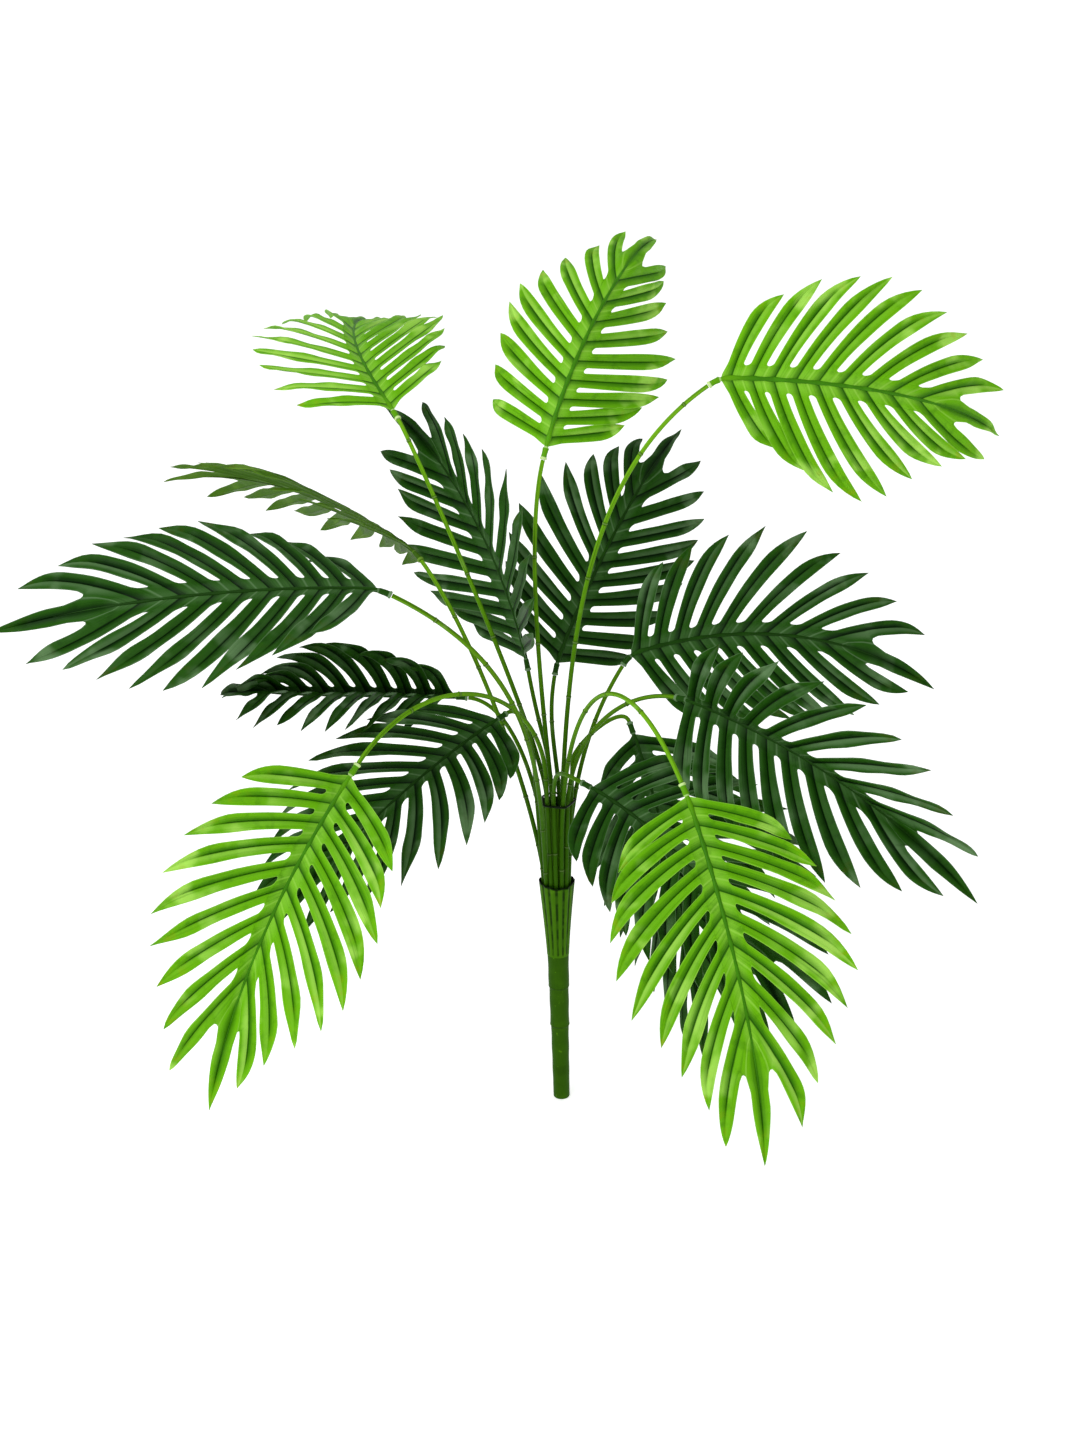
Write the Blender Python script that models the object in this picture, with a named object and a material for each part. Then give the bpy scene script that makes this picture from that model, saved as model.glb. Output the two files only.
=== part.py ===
"""Artificial areca palm: a plug-in stem, two ribbed sheaths and fifteen moulded fronds on wire stalks.

Metres, +Z up, the photograph's view along +Y. The origin is the centre of the stem's flat foot.
"""
import math
from collections import namedtuple

import bpy
from mathutils import Vector

MM = 0.001

# Stem: a plastic insert that leans a little to the left and swells in two small steps
STEM_LEAN = math.radians(-1.4)
FOOT_RADIUS = 8.6 * MM
FOOT_ROUNDING = 1.6 * MM
STEM_TOP_RADIUS = 11.0 * MM
STEM_HEIGHT = 172 * MM
STEP_HEIGHTS = (88 * MM, 134 * MM)
STEP_OUT = 0.5 * MM
STEM_SIDES = 24

# Sheaths: the lower one flares into a cup, the upper one stands in it
JOINT_GAP = 0.3 * MM
SHEATH_WALL = 1.5 * MM
SHEATH_RIBS = 14
SIDES_PER_RIB = 4
SHEATH_ROWS = 5
SHEATH_FLARE = 1.2
RIB_DEPTH = 0.5 * MM
LOWER_RIM_HEIGHT = 257 * MM
LOWER_FOOT_RADIUS = 11.6 * MM
LOWER_RIM_RADIUS = 18.6 * MM
LOWER_FLOOR_HEIGHT = 232 * MM
UPPER_RIM_HEIGHT = 347 * MM
UPPER_FOOT_RADIUS = 7.6 * MM
UPPER_RIM_RADIUS = 13.6 * MM
UPPER_FLOOR_HEIGHT = 326 * MM

# Stalks: covered wires that stand in the two sheaths
STALK_FOOT_RADIUS = 2.4 * MM
STALK_TIP_RADIUS = 2.1 * MM
STALK_SIDES = 6
STALK_STEPS = 12
LOWER_SEAT_RADIUS = 11.8 * MM
UPPER_SEAT_RADIUS = 7.2 * MM
SEAT_SPREAD = 0.05
BEND_SPLIT = 0.6
STRAIGHT_SHARE = 0.25

# Frond: one mould, a socket, a rib with nine pairs of leaflets and one at the tip
SOCKET_LENGTH = 13 * MM
SOCKET_BEND = 26 * MM
SOCKET_RADIUS = 3.1 * MM
SOCKET_NECK = 0.35
SOCKET_TAPER = 0.85
RIB_LENGTH = 222 * MM
TIP_LENGTH = 118 * MM
PAIRS = 9
RIB_HALF_WIDTH = 2.4 * MM
RIB_HALF_HEIGHT = 2.1 * MM
BLADE_HALF = 0.7 * MM
WEB_WIDTH = 12 * MM
TIP_WEB = 40 * MM
SLOT_WIDTH = 5 * MM
BASE_LEAFLET = 96 * MM
LONGEST_LEAFLET = 140 * MM
LAST_LEAFLET = 112 * MM
LONGEST_PAIR = 4
WIDEST_HALF = 8.6 * MM
LAST_HALF = 8.0 * MM
TIP_HALF = 8.0 * MM
BASE_ANGLE = math.radians(72)
LAST_ANGLE = math.radians(30)
FORWARD_BEND = math.radians(20)
ANGLE_FALL = 1.6
ROOT_WIDTH = 0.78
WIDEST_SHARE = 0.62
POINT_FALL = 1.6
LEAFLET_STATIONS = (0.42, 0.72)
LEAFLET_STEPS = 24
TIP_STATIONS = (TIP_WEB / TIP_LENGTH, 0.5, 0.75)
TIP_SAG = 0.4
POINT_THINNING = 0.6
RIB_THINNING = 0.6
FROND_LENGTH = SOCKET_LENGTH + RIB_LENGTH + TIP_LENGTH
RIB_FRAMES = 60
UNEVEN_ANGLE = math.radians(2)
UNEVEN_FOLD = math.radians(3)
UNEVEN_SAG = 4

# Where each frond's socket begins (mm), which way it sets off and how it bends on the way to its tip
# (degrees), how far its leaflets fold up (degrees) and sag at their points (mm), and how much the
# socket is lifted and turned from the rib (degrees)
Frond = namedtuple("Frond", "name tone socket heading pitch droop roll swing twist fold sag lift turn")
FRONDS = (
    Frond("top_left", "bright", (-163, 91, 718), 120, 24, 38, -15, -44, 37, 14, 20, 10, 4),
    Frond("top_middle", "bright", (-20, 73, 682), 51, 68, 70, 37, 23, 0, -31, 18, 0, 0),
    Frond("top_right", "bright", (135, -6, 775), -9, 2, 32, 90, 60, -15, -11, 3, 32, 16),
    Frond("front_left", "bright", (-186, -221, 481), 222, -44, 34, -47, -17, -24, 20, -4, 0, 0),
    Frond("front_right", "bright", (103, -249, 474), 286, -30, 54, 3, 14, 19, -1, 0, -19, 18),
    Frond("left_upper", "middle", (-140, 31, 591), 138, 21, 33, 34, 15, 0, -4, 12, 12, -6),
    Frond("left_middle", "dark", (-152, -218, 639), 188, 5, 18, -1, -3, -87, 0, 6, 20, -14),
    Frond("left_lower", "dark", (-97, 62, 434), 181, 2, -29, -42, 87, -2, 64, 40, 3, -1),
    Frond("lower_left", "dark", (-56, -24, 451), 225, -13, 21, -8, 0, 0, 8, 6, 0, 0),
    Frond("centre_left", "dark", (-35, 48, 469), 138, 76, 63, -114, -15, 70, 10, 24, 0, 0),
    Frond("centre_right", "dark", (-8, 69, 456), 50, 59, 46, 69, 17, -75, -10, 15, 13, 7),
    Frond("right_upper", "dark", (60, 30, 481), 8, 19, 56, 82, 3, 0, -2, 4, 36, 15),
    Frond("right_middle", "dark", (104, -119, 505), 314, 0, 50, 81, 36, 0, 34, -4, 6, 4),
    Frond("right_lower", "dark", (66, -7, 435), 300, -51, 27, 0, 0, 0, 20, 4, 0, 0),
    Frond("lower_right", "dark", (17, -98, 409), 318, -8, 44, 22, -15, 0, 8, 4, 0, 0),
)

# Where each stalk stands (degrees round its sheath), its straight foot and how strongly it holds its
# direction at the two ends of its curve (mm)
Stalk = namedtuple("Stalk", "sheath angle straight rise lead bent")
STALKS = {
    "top_left": Stalk("upper", 158, 24, 190, 80, False),
    "top_middle": Stalk("upper", 270, 0, 90, 300, False),
    "top_right": Stalk("upper", 342, 0, 640, 400, False),
    "front_left": Stalk("lower", 246, 146, 310, 360, True),
    "front_right": Stalk("lower", 294, 64, 560, 450, True),
    "left_upper": Stalk("lower", 150, 0, 310, 260, False),
    "left_middle": Stalk("lower", 217, 0, 440, 450, False),
    "left_lower": Stalk("lower", 118, 0, 273, 162, False),
    "lower_left": Stalk("lower", 182, 150, 120, 60, True),
    "centre_left": Stalk("upper", 108, 0, 267, 273, False),
    "centre_right": Stalk("upper", 46, 0, 182, 170, False),
    "right_upper": Stalk("lower", 35, 0, 305, 240, False),
    "right_middle": Stalk("lower", 320, 110, 250, 195, True),
    "right_lower": Stalk("lower", 347, 160, 50, 67, True),
    "lower_right": Stalk("lower", 268, 110, 150, 100, True),
}

# Colour, roughness and metallic value of each part's plastic or cloth
FINISHES = {
    "stem": ((0.045, 0.13, 0.012), 0.5, 0.0),
    "sheath": ((0.07, 0.19, 0.012), 0.5, 0.0),
    "stalk": ((0.14, 0.36, 0.02), 0.45, 0.0),
    "bright": ((0.15, 0.46, 0.02), 0.5, 0.0),
    "middle": ((0.08, 0.27, 0.03), 0.5, 0.0),
    "dark": ((0.008, 0.07, 0.012), 0.5, 0.0),
}


def clear_scene():
    """Take away whatever the file opened with."""
    for thing in list(bpy.data.objects):
        bpy.data.objects.remove(thing, do_unlink=True)


def finish(name):
    """The material of this name, made once."""
    if name in bpy.data.materials:
        return bpy.data.materials[name]
    colour, roughness, metallic = FINISHES[name]
    material = bpy.data.materials.new(name)
    material.use_nodes = True
    shader = material.node_tree.nodes["Principled BSDF"]
    shader.inputs["Base Color"].default_value = (*colour, 1)
    shader.inputs["Roughness"].default_value = roughness
    shader.inputs["Metallic"].default_value = metallic
    return material


def add_part(name, points, faces, finish_name, smooth=True):
    """One named object from points and faces."""
    mesh = bpy.data.meshes.new(name)
    mesh.from_pydata(points, [], faces)
    mesh.materials.append(finish(finish_name))
    if smooth:
        mesh.shade_smooth()
        mesh.set_sharp_from_angle(angle=math.radians(40))
    part = bpy.data.objects.new(name, mesh)
    bpy.context.scene.collection.objects.link(part)
    return part


def blend(start, end, share):
    """The value this share of the way from start to end."""
    return start + (end - start) * share


def axis_point(height):
    """The stem's leaning axis at a height."""
    return Vector((height * math.tan(STEM_LEAN), 0, height))


def turned(name, profile, finish_name, sides, groove=0.0, grooves=0):
    """A closed turned piece on the leaning axis; its profile holds radius, height and whether grooved."""
    points = []
    for radius, height, grooved in profile:
        for side in range(sides):
            angle = 2 * math.pi * side / sides
            depth = groove * (0.5 - 0.5 * math.cos(grooves * angle)) if grooved else 0
            ring = radius - depth
            points.append(axis_point(height) + Vector((ring * math.cos(angle), ring * math.sin(angle), 0)))
    faces = []
    for row in range(len(profile) - 1):
        for side in range(sides):
            after = (side + 1) % sides
            low, high = row * sides, (row + 1) * sides
            faces.append((low + side, low + after, high + after, high + side))
    last = (len(profile) - 1) * sides
    faces.append(tuple(reversed(range(sides))))
    faces.append(tuple(range(last, last + sides)))
    return add_part(name, points, faces, finish_name)


def stem_radius(height):
    """Radius of the stem at a height, with its two steps."""
    steps = sum(STEP_OUT for step in STEP_HEIGHTS if height >= step)
    plain_top = STEM_TOP_RADIUS - STEP_OUT * len(STEP_HEIGHTS)
    return blend(FOOT_RADIUS, plain_top, height / STEM_HEIGHT) + steps


def build_stem():
    """The plug-in stem, flat at the foot with a rounded edge."""
    bevel = 0.3 * FOOT_ROUNDING
    profile = [(FOOT_RADIUS - FOOT_ROUNDING, 0, False),
               (FOOT_RADIUS - bevel, bevel, False),
               (stem_radius(FOOT_ROUNDING), FOOT_ROUNDING, False)]
    for step in STEP_HEIGHTS:
        profile.append((stem_radius(step - STEP_OUT), step - STEP_OUT, False))
        profile.append((stem_radius(step), step, False))
    profile.append((STEM_TOP_RADIUS, STEM_HEIGHT - JOINT_GAP, False))
    return turned("stem", profile, "stem", STEM_SIDES)


def build_sheath(name, foot, floor, rim, foot_radius, rim_radius):
    """A ribbed sheath, solid up to its floor and an open cup above."""
    def outer(height):
        share = (height - foot) / (rim - foot)
        return blend(foot_radius, rim_radius, share ** SHEATH_FLARE)

    profile = []
    for row in range(SHEATH_ROWS + 1):
        height = blend(foot, rim, row / SHEATH_ROWS)
        profile.append((outer(height), height, row > 0))
    profile.append((outer(rim) - SHEATH_WALL, rim, False))
    profile.append((outer(floor) - SHEATH_WALL, floor, False))
    return turned(name, profile, "sheath", SHEATH_RIBS * SIDES_PER_RIB, RIB_DEPTH, SHEATH_RIBS)


def rib_frames(frond):
    """Points and directions (forward, left, up) along a frond's rib, from its socket to its tip."""
    step = FROND_LENGTH / RIB_FRAMES
    point = Vector(frond.socket) * MM
    frames = []
    for index in range(RIB_FRAMES + 1):
        share = index / RIB_FRAMES
        bend = 0.5 + 0.5 * math.cos(math.pi * min(index * step / SOCKET_BEND, 1))
        heading = math.radians(frond.heading + frond.swing * share + frond.turn * bend)
        pitch = math.radians(frond.pitch - frond.droop * share + frond.lift * bend)
        roll = math.radians(frond.roll + frond.twist * share)
        level_reach = math.cos(pitch)
        forward = Vector((level_reach * math.cos(heading), level_reach * math.sin(heading), math.sin(pitch)))
        level = Vector((-math.sin(heading), math.cos(heading), 0))
        upright = forward.cross(level)
        left = level * math.cos(roll) + upright * math.sin(roll)
        if frames:
            point = point + (frames[-1][1] + forward).normalized() * step
        frames.append((point.copy(), forward, left, forward.cross(left)))
    return frames


def frame_at(frames, distance):
    """The rib's frame at a distance from the start of the blade."""
    place = (distance + SOCKET_LENGTH) / FROND_LENGTH * RIB_FRAMES
    index = min(int(place), RIB_FRAMES - 1)
    share = place - index
    return [before.lerp(after, share) for before, after in zip(frames[index], frames[index + 1])]


def leaflet_length(pair):
    """Length of a leaflet from the rib, longest a little below the middle."""
    if pair <= LONGEST_PAIR:
        return blend(BASE_LEAFLET, LONGEST_LEAFLET, math.sin(math.pi / 2 * pair / LONGEST_PAIR))
    return blend(LONGEST_LEAFLET, LAST_LEAFLET, (pair - LONGEST_PAIR) / (PAIRS - 1 - LONGEST_PAIR))


def leaflet_angle(pair):
    """How far a leaflet leaves the rib's direction, wide on the lower half and closing towards the tip."""
    return blend(BASE_ANGLE, LAST_ANGLE, (pair / (PAIRS - 1)) ** ANGLE_FALL)


def pair_edges():
    """Distances along the rib between one pair's foot and the next; a slanting pair's foot is longer."""
    feet = [1 / math.sin(leaflet_angle(pair)) for pair in range(PAIRS)]
    edges = [0.0]
    for foot in feet:
        edges.append(edges[-1] + RIB_LENGTH * foot / sum(feet))
    return edges


def foot_middle(pair):
    """Distance along the rib of the middle of a pair's foot."""
    edges = pair_edges()
    return 0.5 * (edges[pair] + edges[pair + 1])


def leaflet_half_width(pair, share):
    """Half width of a leaflet, widest at six tenths and then drawn to a point."""
    widest = blend(WIDEST_HALF, LAST_HALF, max(0, pair - LONGEST_PAIR) / (PAIRS - 1 - LONGEST_PAIR))
    if share < WIDEST_SHARE:
        return widest * blend(ROOT_WIDTH, 1.0, math.sin(math.pi / 2 * share / WIDEST_SHARE))
    return widest * (1 - ((share - WIDEST_SHARE) / (1 - WIDEST_SHARE)) ** POINT_FALL)


def wobble(frond_number, pair, side):
    """A steady small unevenness between -1 and 1 for one leaflet."""
    return math.sin(12.9 * frond_number + 7.3 * pair + 2.1 * side)


def leaflet_line(frond, number, frames, pair, side, shares):
    """Points along a leaflet's middle, with the direction across it and its upper side."""
    root, forward, left, up = frame_at(frames, foot_middle(pair))
    uneven = wobble(number, pair, side)
    fold = math.radians(frond.fold) + UNEVEN_FOLD * uneven
    sideways = left * side * math.cos(fold) + up * math.sin(fold)
    upper = up * math.cos(fold) - left * side * math.sin(fold)
    start_angle = leaflet_angle(pair) + UNEVEN_ANGLE * uneven
    length = leaflet_length(pair)
    sag = (frond.sag + UNEVEN_SAG * uneven) * MM
    step_length = length / LEAFLET_STEPS
    walk = [root]
    for step in range(LEAFLET_STEPS):
        angle = start_angle - FORWARD_BEND * (step + 0.5) / LEAFLET_STEPS
        walk.append(walk[-1] + (forward * math.cos(angle) + sideways * math.sin(angle)) * step_length)
    line = []
    for share in shares:
        index = min(int(share * LEAFLET_STEPS), LEAFLET_STEPS - 1)
        point = walk[index].lerp(walk[index + 1], share * LEAFLET_STEPS - index)
        angle = start_angle - FORWARD_BEND * share
        along = forward * math.cos(angle) + sideways * math.sin(angle)
        across = along.cross(upper) * side
        line.append((point - Vector((0, 0, sag * share ** 2)), across, upper))
    return line


class Sheet:
    """A thin blade: points with the direction and depth of its two faces."""

    def __init__(self):
        self.points = []
        self.faces = []

    def point(self, place, up, half):
        self.points.append((place, up, half))
        return len(self.points) - 1

    def face(self, corners, side):
        """Corners run anticlockwise seen from above on the left side, so the right side is turned over."""
        self.faces.append(tuple(corners) if side > 0 else tuple(reversed(corners)))

    def closed(self):
        """Points and faces of the blade with its upper side, lower side and edges."""
        count = len(self.points)
        points = [place + up * half for place, up, half in self.points]
        points += [place - up * half for place, up, half in self.points]
        faces = list(self.faces)
        faces += [tuple(corner + count for corner in reversed(face)) for face in self.faces]
        edges = {}
        for face in self.faces:
            for start, end in zip(face, face[1:] + face[:1]):
                edges[(start, end)] = True
        for start, end in edges:
            if (end, start) not in edges:
                faces.append((end, start, start + count, end + count))
        return points, faces


def add_rib(sheet, frames):
    """Socket and rib, three points across. Returns the rows between the leaflets along the blade."""
    rows = []
    mouth = (-SOCKET_LENGTH + JOINT_GAP, SOCKET_RADIUS)
    neck = (-SOCKET_NECK * SOCKET_LENGTH, SOCKET_TAPER * SOCKET_RADIUS)
    socket_rows = (mouth, neck)
    for distance, radius in socket_rows:
        place, _, left, up = frame_at(frames, distance)
        rows.append([sheet.point(place + left * radius, up, 0.5 * radius),
                     sheet.point(place, up, radius),
                     sheet.point(place - left * radius, up, 0.5 * radius)])
    for edge in pair_edges():
        place, _, left, up = frame_at(frames, edge)
        thin = blend(1.0, RIB_THINNING, edge / RIB_LENGTH)
        rows.append([sheet.point(place + left * RIB_HALF_WIDTH * thin, up, BLADE_HALF),
                     sheet.point(place, up, RIB_HALF_HEIGHT * thin),
                     sheet.point(place - left * RIB_HALF_WIDTH * thin, up, BLADE_HALF)])
    for low, high in zip(rows, rows[1:]):
        sheet.face((low[0], low[1], high[1], high[0]), 1)
        sheet.face((low[2], low[1], high[1], high[2]), -1)
    return rows[len(socket_rows):]


def add_leaflet(sheet, frond, number, frames, rows, pair, side):
    """One leaflet from the rib's rows to its tip. Returns the near and far corners of its root."""
    length = leaflet_length(pair)
    angle = leaflet_angle(pair)
    web_share = WEB_WIDTH / math.sin(angle) / length
    shares = (web_share, *LEAFLET_STATIONS, 1.0)
    line = leaflet_line(frond, number, frames, pair, side, shares)
    forward = frame_at(frames, foot_middle(pair))[1]
    edges = pair_edges()
    edge = 0 if side > 0 else 2
    near, far = rows[pair][edge], rows[pair + 1][edge]
    reach = 0.5 * (edges[pair + 1] - edges[pair] - SLOT_WIDTH / math.sin(angle))
    place, _, up = line[0]
    low = sheet.point(place - forward * reach, up, BLADE_HALF)
    high = sheet.point(place + forward * reach, up, BLADE_HALF)
    root = (low, high)
    sheet.face((near, far, high, low), side)
    for share, (place, across, up) in zip(LEAFLET_STATIONS, line[1:-1]):
        half = leaflet_half_width(pair, share)
        next_low = sheet.point(place - across * half, up, BLADE_HALF)
        next_high = sheet.point(place + across * half, up, BLADE_HALF)
        sheet.face((low, high, next_high, next_low), side)
        low, high = next_low, next_high
    place, _, up = line[-1]
    tip = sheet.point(place, up, POINT_THINNING * BLADE_HALF)
    sheet.face((low, high, tip), side)
    return root


def tip_half_width(share):
    """Half width of the leaflet at the rib's end, widest at its middle."""
    if share < 0.5:
        return TIP_HALF * (0.6 + 0.8 * share)
    return TIP_HALF * (1.6 - 1.2 * share)


def tip_frame(frond, frames, share):
    """The sagging middle line of the leaflet at the rib's end."""
    place, _, left, up = frame_at(frames, RIB_LENGTH + TIP_LENGTH * share)
    return place - Vector((0, 0, TIP_SAG * frond.sag * MM * share ** 2)), left, up


def add_tip_leaflet(sheet, frond, frames, row, last_roots):
    """The leaflet that carries on from the rib's end, webbed to the last pair."""
    left_edge, middle, right_edge = row
    for share in TIP_STATIONS:
        place, left, up = tip_frame(frond, frames, share)
        half = tip_half_width(share)
        near = (left_edge, middle, right_edge)
        left_edge = sheet.point(place + left * half, up, BLADE_HALF)
        middle = sheet.point(place, up, BLADE_HALF)
        right_edge = sheet.point(place - left * half, up, BLADE_HALF)
        sheet.face((near[0], near[1], middle, left_edge), 1)
        sheet.face((near[2], near[1], middle, right_edge), -1)
        if share == TIP_STATIONS[0]:
            sheet.face((row[0], left_edge, last_roots[1][1]), 1)
            sheet.face((row[2], right_edge, last_roots[-1][1]), -1)
    place, left, up = tip_frame(frond, frames, 1.0)
    tip = sheet.point(place, up, POINT_THINNING * BLADE_HALF)
    sheet.face((left_edge, middle, tip), 1)
    sheet.face((right_edge, middle, tip), -1)


def build_frond(frond, number):
    """A whole frond: socket, rib, web, leaflets and tip as one thin blade."""
    frames = rib_frames(frond)
    sheet = Sheet()
    rows = add_rib(sheet, frames)
    roots = {}
    for side in (1, -1):
        edge = 0 if side > 0 else 2
        before = None
        for pair in range(PAIRS):
            root = add_leaflet(sheet, frond, number, frames, rows, pair, side)
            if before:
                sheet.face((rows[pair][edge], root[0], before[1]), side)
            before = root
        roots[side] = before
    add_tip_leaflet(sheet, frond, frames, rows[-1], roots)
    points, faces = sheet.closed()
    return add_part("frond_" + frond.name, points, faces, frond.tone, smooth=False)


def seat_point(stalk):
    """Where a stalk stands on the floor of its sheath, and which way it leaves."""
    lower = stalk.sheath == "lower"
    height = (LOWER_FLOOR_HEIGHT if lower else UPPER_FLOOR_HEIGHT) + JOINT_GAP
    radius = LOWER_SEAT_RADIUS if lower else UPPER_SEAT_RADIUS
    angle = math.radians(stalk.angle)
    outward = Vector((math.cos(angle), math.sin(angle), 0))
    rising = Vector((math.tan(STEM_LEAN), 0, 1)) + outward * SEAT_SPREAD
    return axis_point(height) + outward * radius, rising.normalized()


def stalk_point(frond, stalk, share):
    """A point on a stalk: straight up from its seat, then a smooth curve to its frond's socket."""
    foot, rising = seat_point(stalk)
    if stalk.straight:
        leave = foot + rising * stalk.straight * MM
        if share < STRAIGHT_SHARE:
            return foot.lerp(leave, share / STRAIGHT_SHARE)
        foot = leave
        share = (share - STRAIGHT_SHARE) / (1 - STRAIGHT_SHARE)
    place, forward = rib_frames(frond)[0][:2]
    end = place - forward * JOINT_GAP
    start_pull = rising * stalk.rise * MM
    end_pull = forward * stalk.lead * MM
    squared, cubed = share ** 2, share ** 3
    return (foot * (2 * cubed - 3 * squared + 1) + start_pull * (cubed - 2 * squared + share)
            + end * (3 * squared - 2 * cubed) + end_pull * (cubed - squared))


def tube(name, centres, directions, radii, finish_name):
    """A round limb through these centres, square to these directions and closed at both ends."""
    points = []
    side_way = Vector((0, 1, 0))
    for centre, along, radius in zip(centres, directions, radii):
        side_way = (side_way - along * side_way.dot(along)).normalized()
        cross_way = along.cross(side_way)
        for side in range(STALK_SIDES):
            angle = 2 * math.pi * side / STALK_SIDES
            points.append(centre + (side_way * math.cos(angle) + cross_way * math.sin(angle)) * radius)
    last = (len(centres) - 1) * STALK_SIDES
    faces = []
    for low in range(0, last, STALK_SIDES):
        high = low + STALK_SIDES
        for side in range(STALK_SIDES):
            after = (side + 1) % STALK_SIDES
            faces.append((low + side, low + after, high + after, high + side))
    faces.append(tuple(reversed(range(STALK_SIDES))))
    faces.append(tuple(range(last, last + STALK_SIDES)))
    return add_part(name, points, faces, finish_name)


def stalk_direction(frond, stalk, share):
    """Which way a stalk runs at a share of its length."""
    nearby = 0.01
    before = stalk_point(frond, stalk, max(share - nearby, 0))
    after = stalk_point(frond, stalk, min(share + nearby, 1))
    return (after - before).normalized()


def build_stalk(frond, stalk):
    """A stalk, in one piece or parted at its bend."""
    spans = {"": (0.0, 1.0)}
    if stalk.bent:
        spans = {"_rise": (0.0, BEND_SPLIT), "_fall": (BEND_SPLIT, 1.0)}
    steps = STALK_STEPS // len(spans) + len(spans) - 1
    for ending, (start, end) in spans.items():
        shares = [blend(start, end, step / steps) for step in range(steps + 1)]
        centres = [stalk_point(frond, stalk, share) for share in shares]
        directions = [stalk_direction(frond, stalk, share) for share in shares]
        if ending == "_fall":
            centres[0] = centres[0] + directions[0] * JOINT_GAP
        radii = [blend(STALK_FOOT_RADIUS, STALK_TIP_RADIUS, share) for share in shares]
        tube("stalk_" + frond.name + ending, centres, directions, radii, "stalk")


def main():
    clear_scene()
    build_stem()
    build_sheath("sheath_lower", STEM_HEIGHT, LOWER_FLOOR_HEIGHT, LOWER_RIM_HEIGHT,
                 LOWER_FOOT_RADIUS, LOWER_RIM_RADIUS)
    build_sheath("sheath_upper", LOWER_FLOOR_HEIGHT + JOINT_GAP, UPPER_FLOOR_HEIGHT, UPPER_RIM_HEIGHT,
                 UPPER_FOOT_RADIUS, UPPER_RIM_RADIUS)
    for number, frond in enumerate(FRONDS):
        build_frond(frond, number)
        build_stalk(frond, STALKS[frond.name])


if __name__ == "__main__":
    main()
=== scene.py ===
"""Looks of an artificial areca palm: printed leaf cloth, moulded ribs, covered wires, sheaths and stem.

The frame is loaded first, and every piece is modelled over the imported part, in metres, +Z up.
"""
import math
import random
from collections import namedtuple

import bpy
from bpy.props import FloatProperty, FloatVectorProperty, IntProperty, PointerProperty
from bpy.types import Operator, Panel, PropertyGroup
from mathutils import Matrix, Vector


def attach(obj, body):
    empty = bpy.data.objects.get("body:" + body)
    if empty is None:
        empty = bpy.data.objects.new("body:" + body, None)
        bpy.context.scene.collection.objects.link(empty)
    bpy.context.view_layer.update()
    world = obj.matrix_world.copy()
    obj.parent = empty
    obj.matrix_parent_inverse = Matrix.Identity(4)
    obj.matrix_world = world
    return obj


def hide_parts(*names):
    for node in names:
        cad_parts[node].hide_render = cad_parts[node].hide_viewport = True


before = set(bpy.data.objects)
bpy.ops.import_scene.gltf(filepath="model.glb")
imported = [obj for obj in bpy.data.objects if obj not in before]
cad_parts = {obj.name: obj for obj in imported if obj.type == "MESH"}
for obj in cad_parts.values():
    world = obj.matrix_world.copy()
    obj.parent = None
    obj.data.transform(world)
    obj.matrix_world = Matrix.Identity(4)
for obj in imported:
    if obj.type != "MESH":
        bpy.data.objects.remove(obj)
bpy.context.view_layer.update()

bl_info = {
    "name": "Artificial areca palm",
    "version": (1, 0, 0),
    "blender": (4, 5, 0),
    "location": "View3D > Sidebar > Palm",
    "description": "Builds a plug-in artificial palm with fifteen moulded fronds",
    "category": "Object",
}

MM = 0.001
BODY = "root"
SEED = 27
UV_NAME = "OFBake"

# Where each frond's socket begins (mm), which way it sets off and how it bends on the way to its tip
# (degrees), how far its leaflets fold up (degrees) and sag at their points (mm), and how much the
# socket is lifted and turned from the rib (degrees)
Frond = namedtuple("Frond", "name tone socket heading pitch droop roll swing twist fold sag lift turn")
FRONDS = (
    Frond("top_left", "bright", (-163, 91, 718), 120, 24, 38, -15, -44, 37, 14, 20, 10, 4),
    Frond("top_middle", "bright", (-20, 73, 682), 51, 68, 70, 37, 23, 0, -31, 18, 0, 0),
    Frond("top_right", "bright", (135, -6, 775), -9, 2, 32, 90, 60, -15, -11, 3, 32, 16),
    Frond("front_left", "bright", (-186, -221, 481), 222, -44, 34, -47, -17, -24, 20, -4, 0, 0),
    Frond("front_right", "bright", (103, -249, 474), 286, -30, 54, 3, 14, 19, -1, 0, -19, 18),
    Frond("left_upper", "middle", (-140, 31, 591), 138, 21, 33, 34, 15, 0, -4, 12, 12, -6),
    Frond("left_middle", "dark", (-152, -218, 639), 188, 5, 18, -1, -3, -87, 0, 6, 20, -14),
    Frond("left_lower", "dark", (-97, 62, 434), 181, 2, -29, -42, 87, -2, 64, 40, 3, -1),
    Frond("lower_left", "dark", (-56, -24, 451), 225, -13, 21, -8, 0, 0, 8, 6, 0, 0),
    Frond("centre_left", "dark", (-35, 48, 469), 138, 76, 63, -114, -15, 70, 10, 24, 0, 0),
    Frond("centre_right", "dark", (-8, 69, 456), 50, 59, 46, 69, 17, -75, -10, 15, 13, 7),
    Frond("right_upper", "dark", (60, 30, 481), 8, 19, 56, 82, 3, 0, -2, 4, 36, 15),
    Frond("right_middle", "dark", (104, -119, 505), 314, 0, 50, 81, 36, 0, 34, -4, 6, 4),
    Frond("right_lower", "dark", (66, -7, 435), 300, -51, 27, 0, 0, 0, 20, 4, 0, 0),
    Frond("lower_right", "dark", (17, -98, 409), 318, -8, 44, 22, -15, 0, 8, 4, 0, 0),
)

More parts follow.
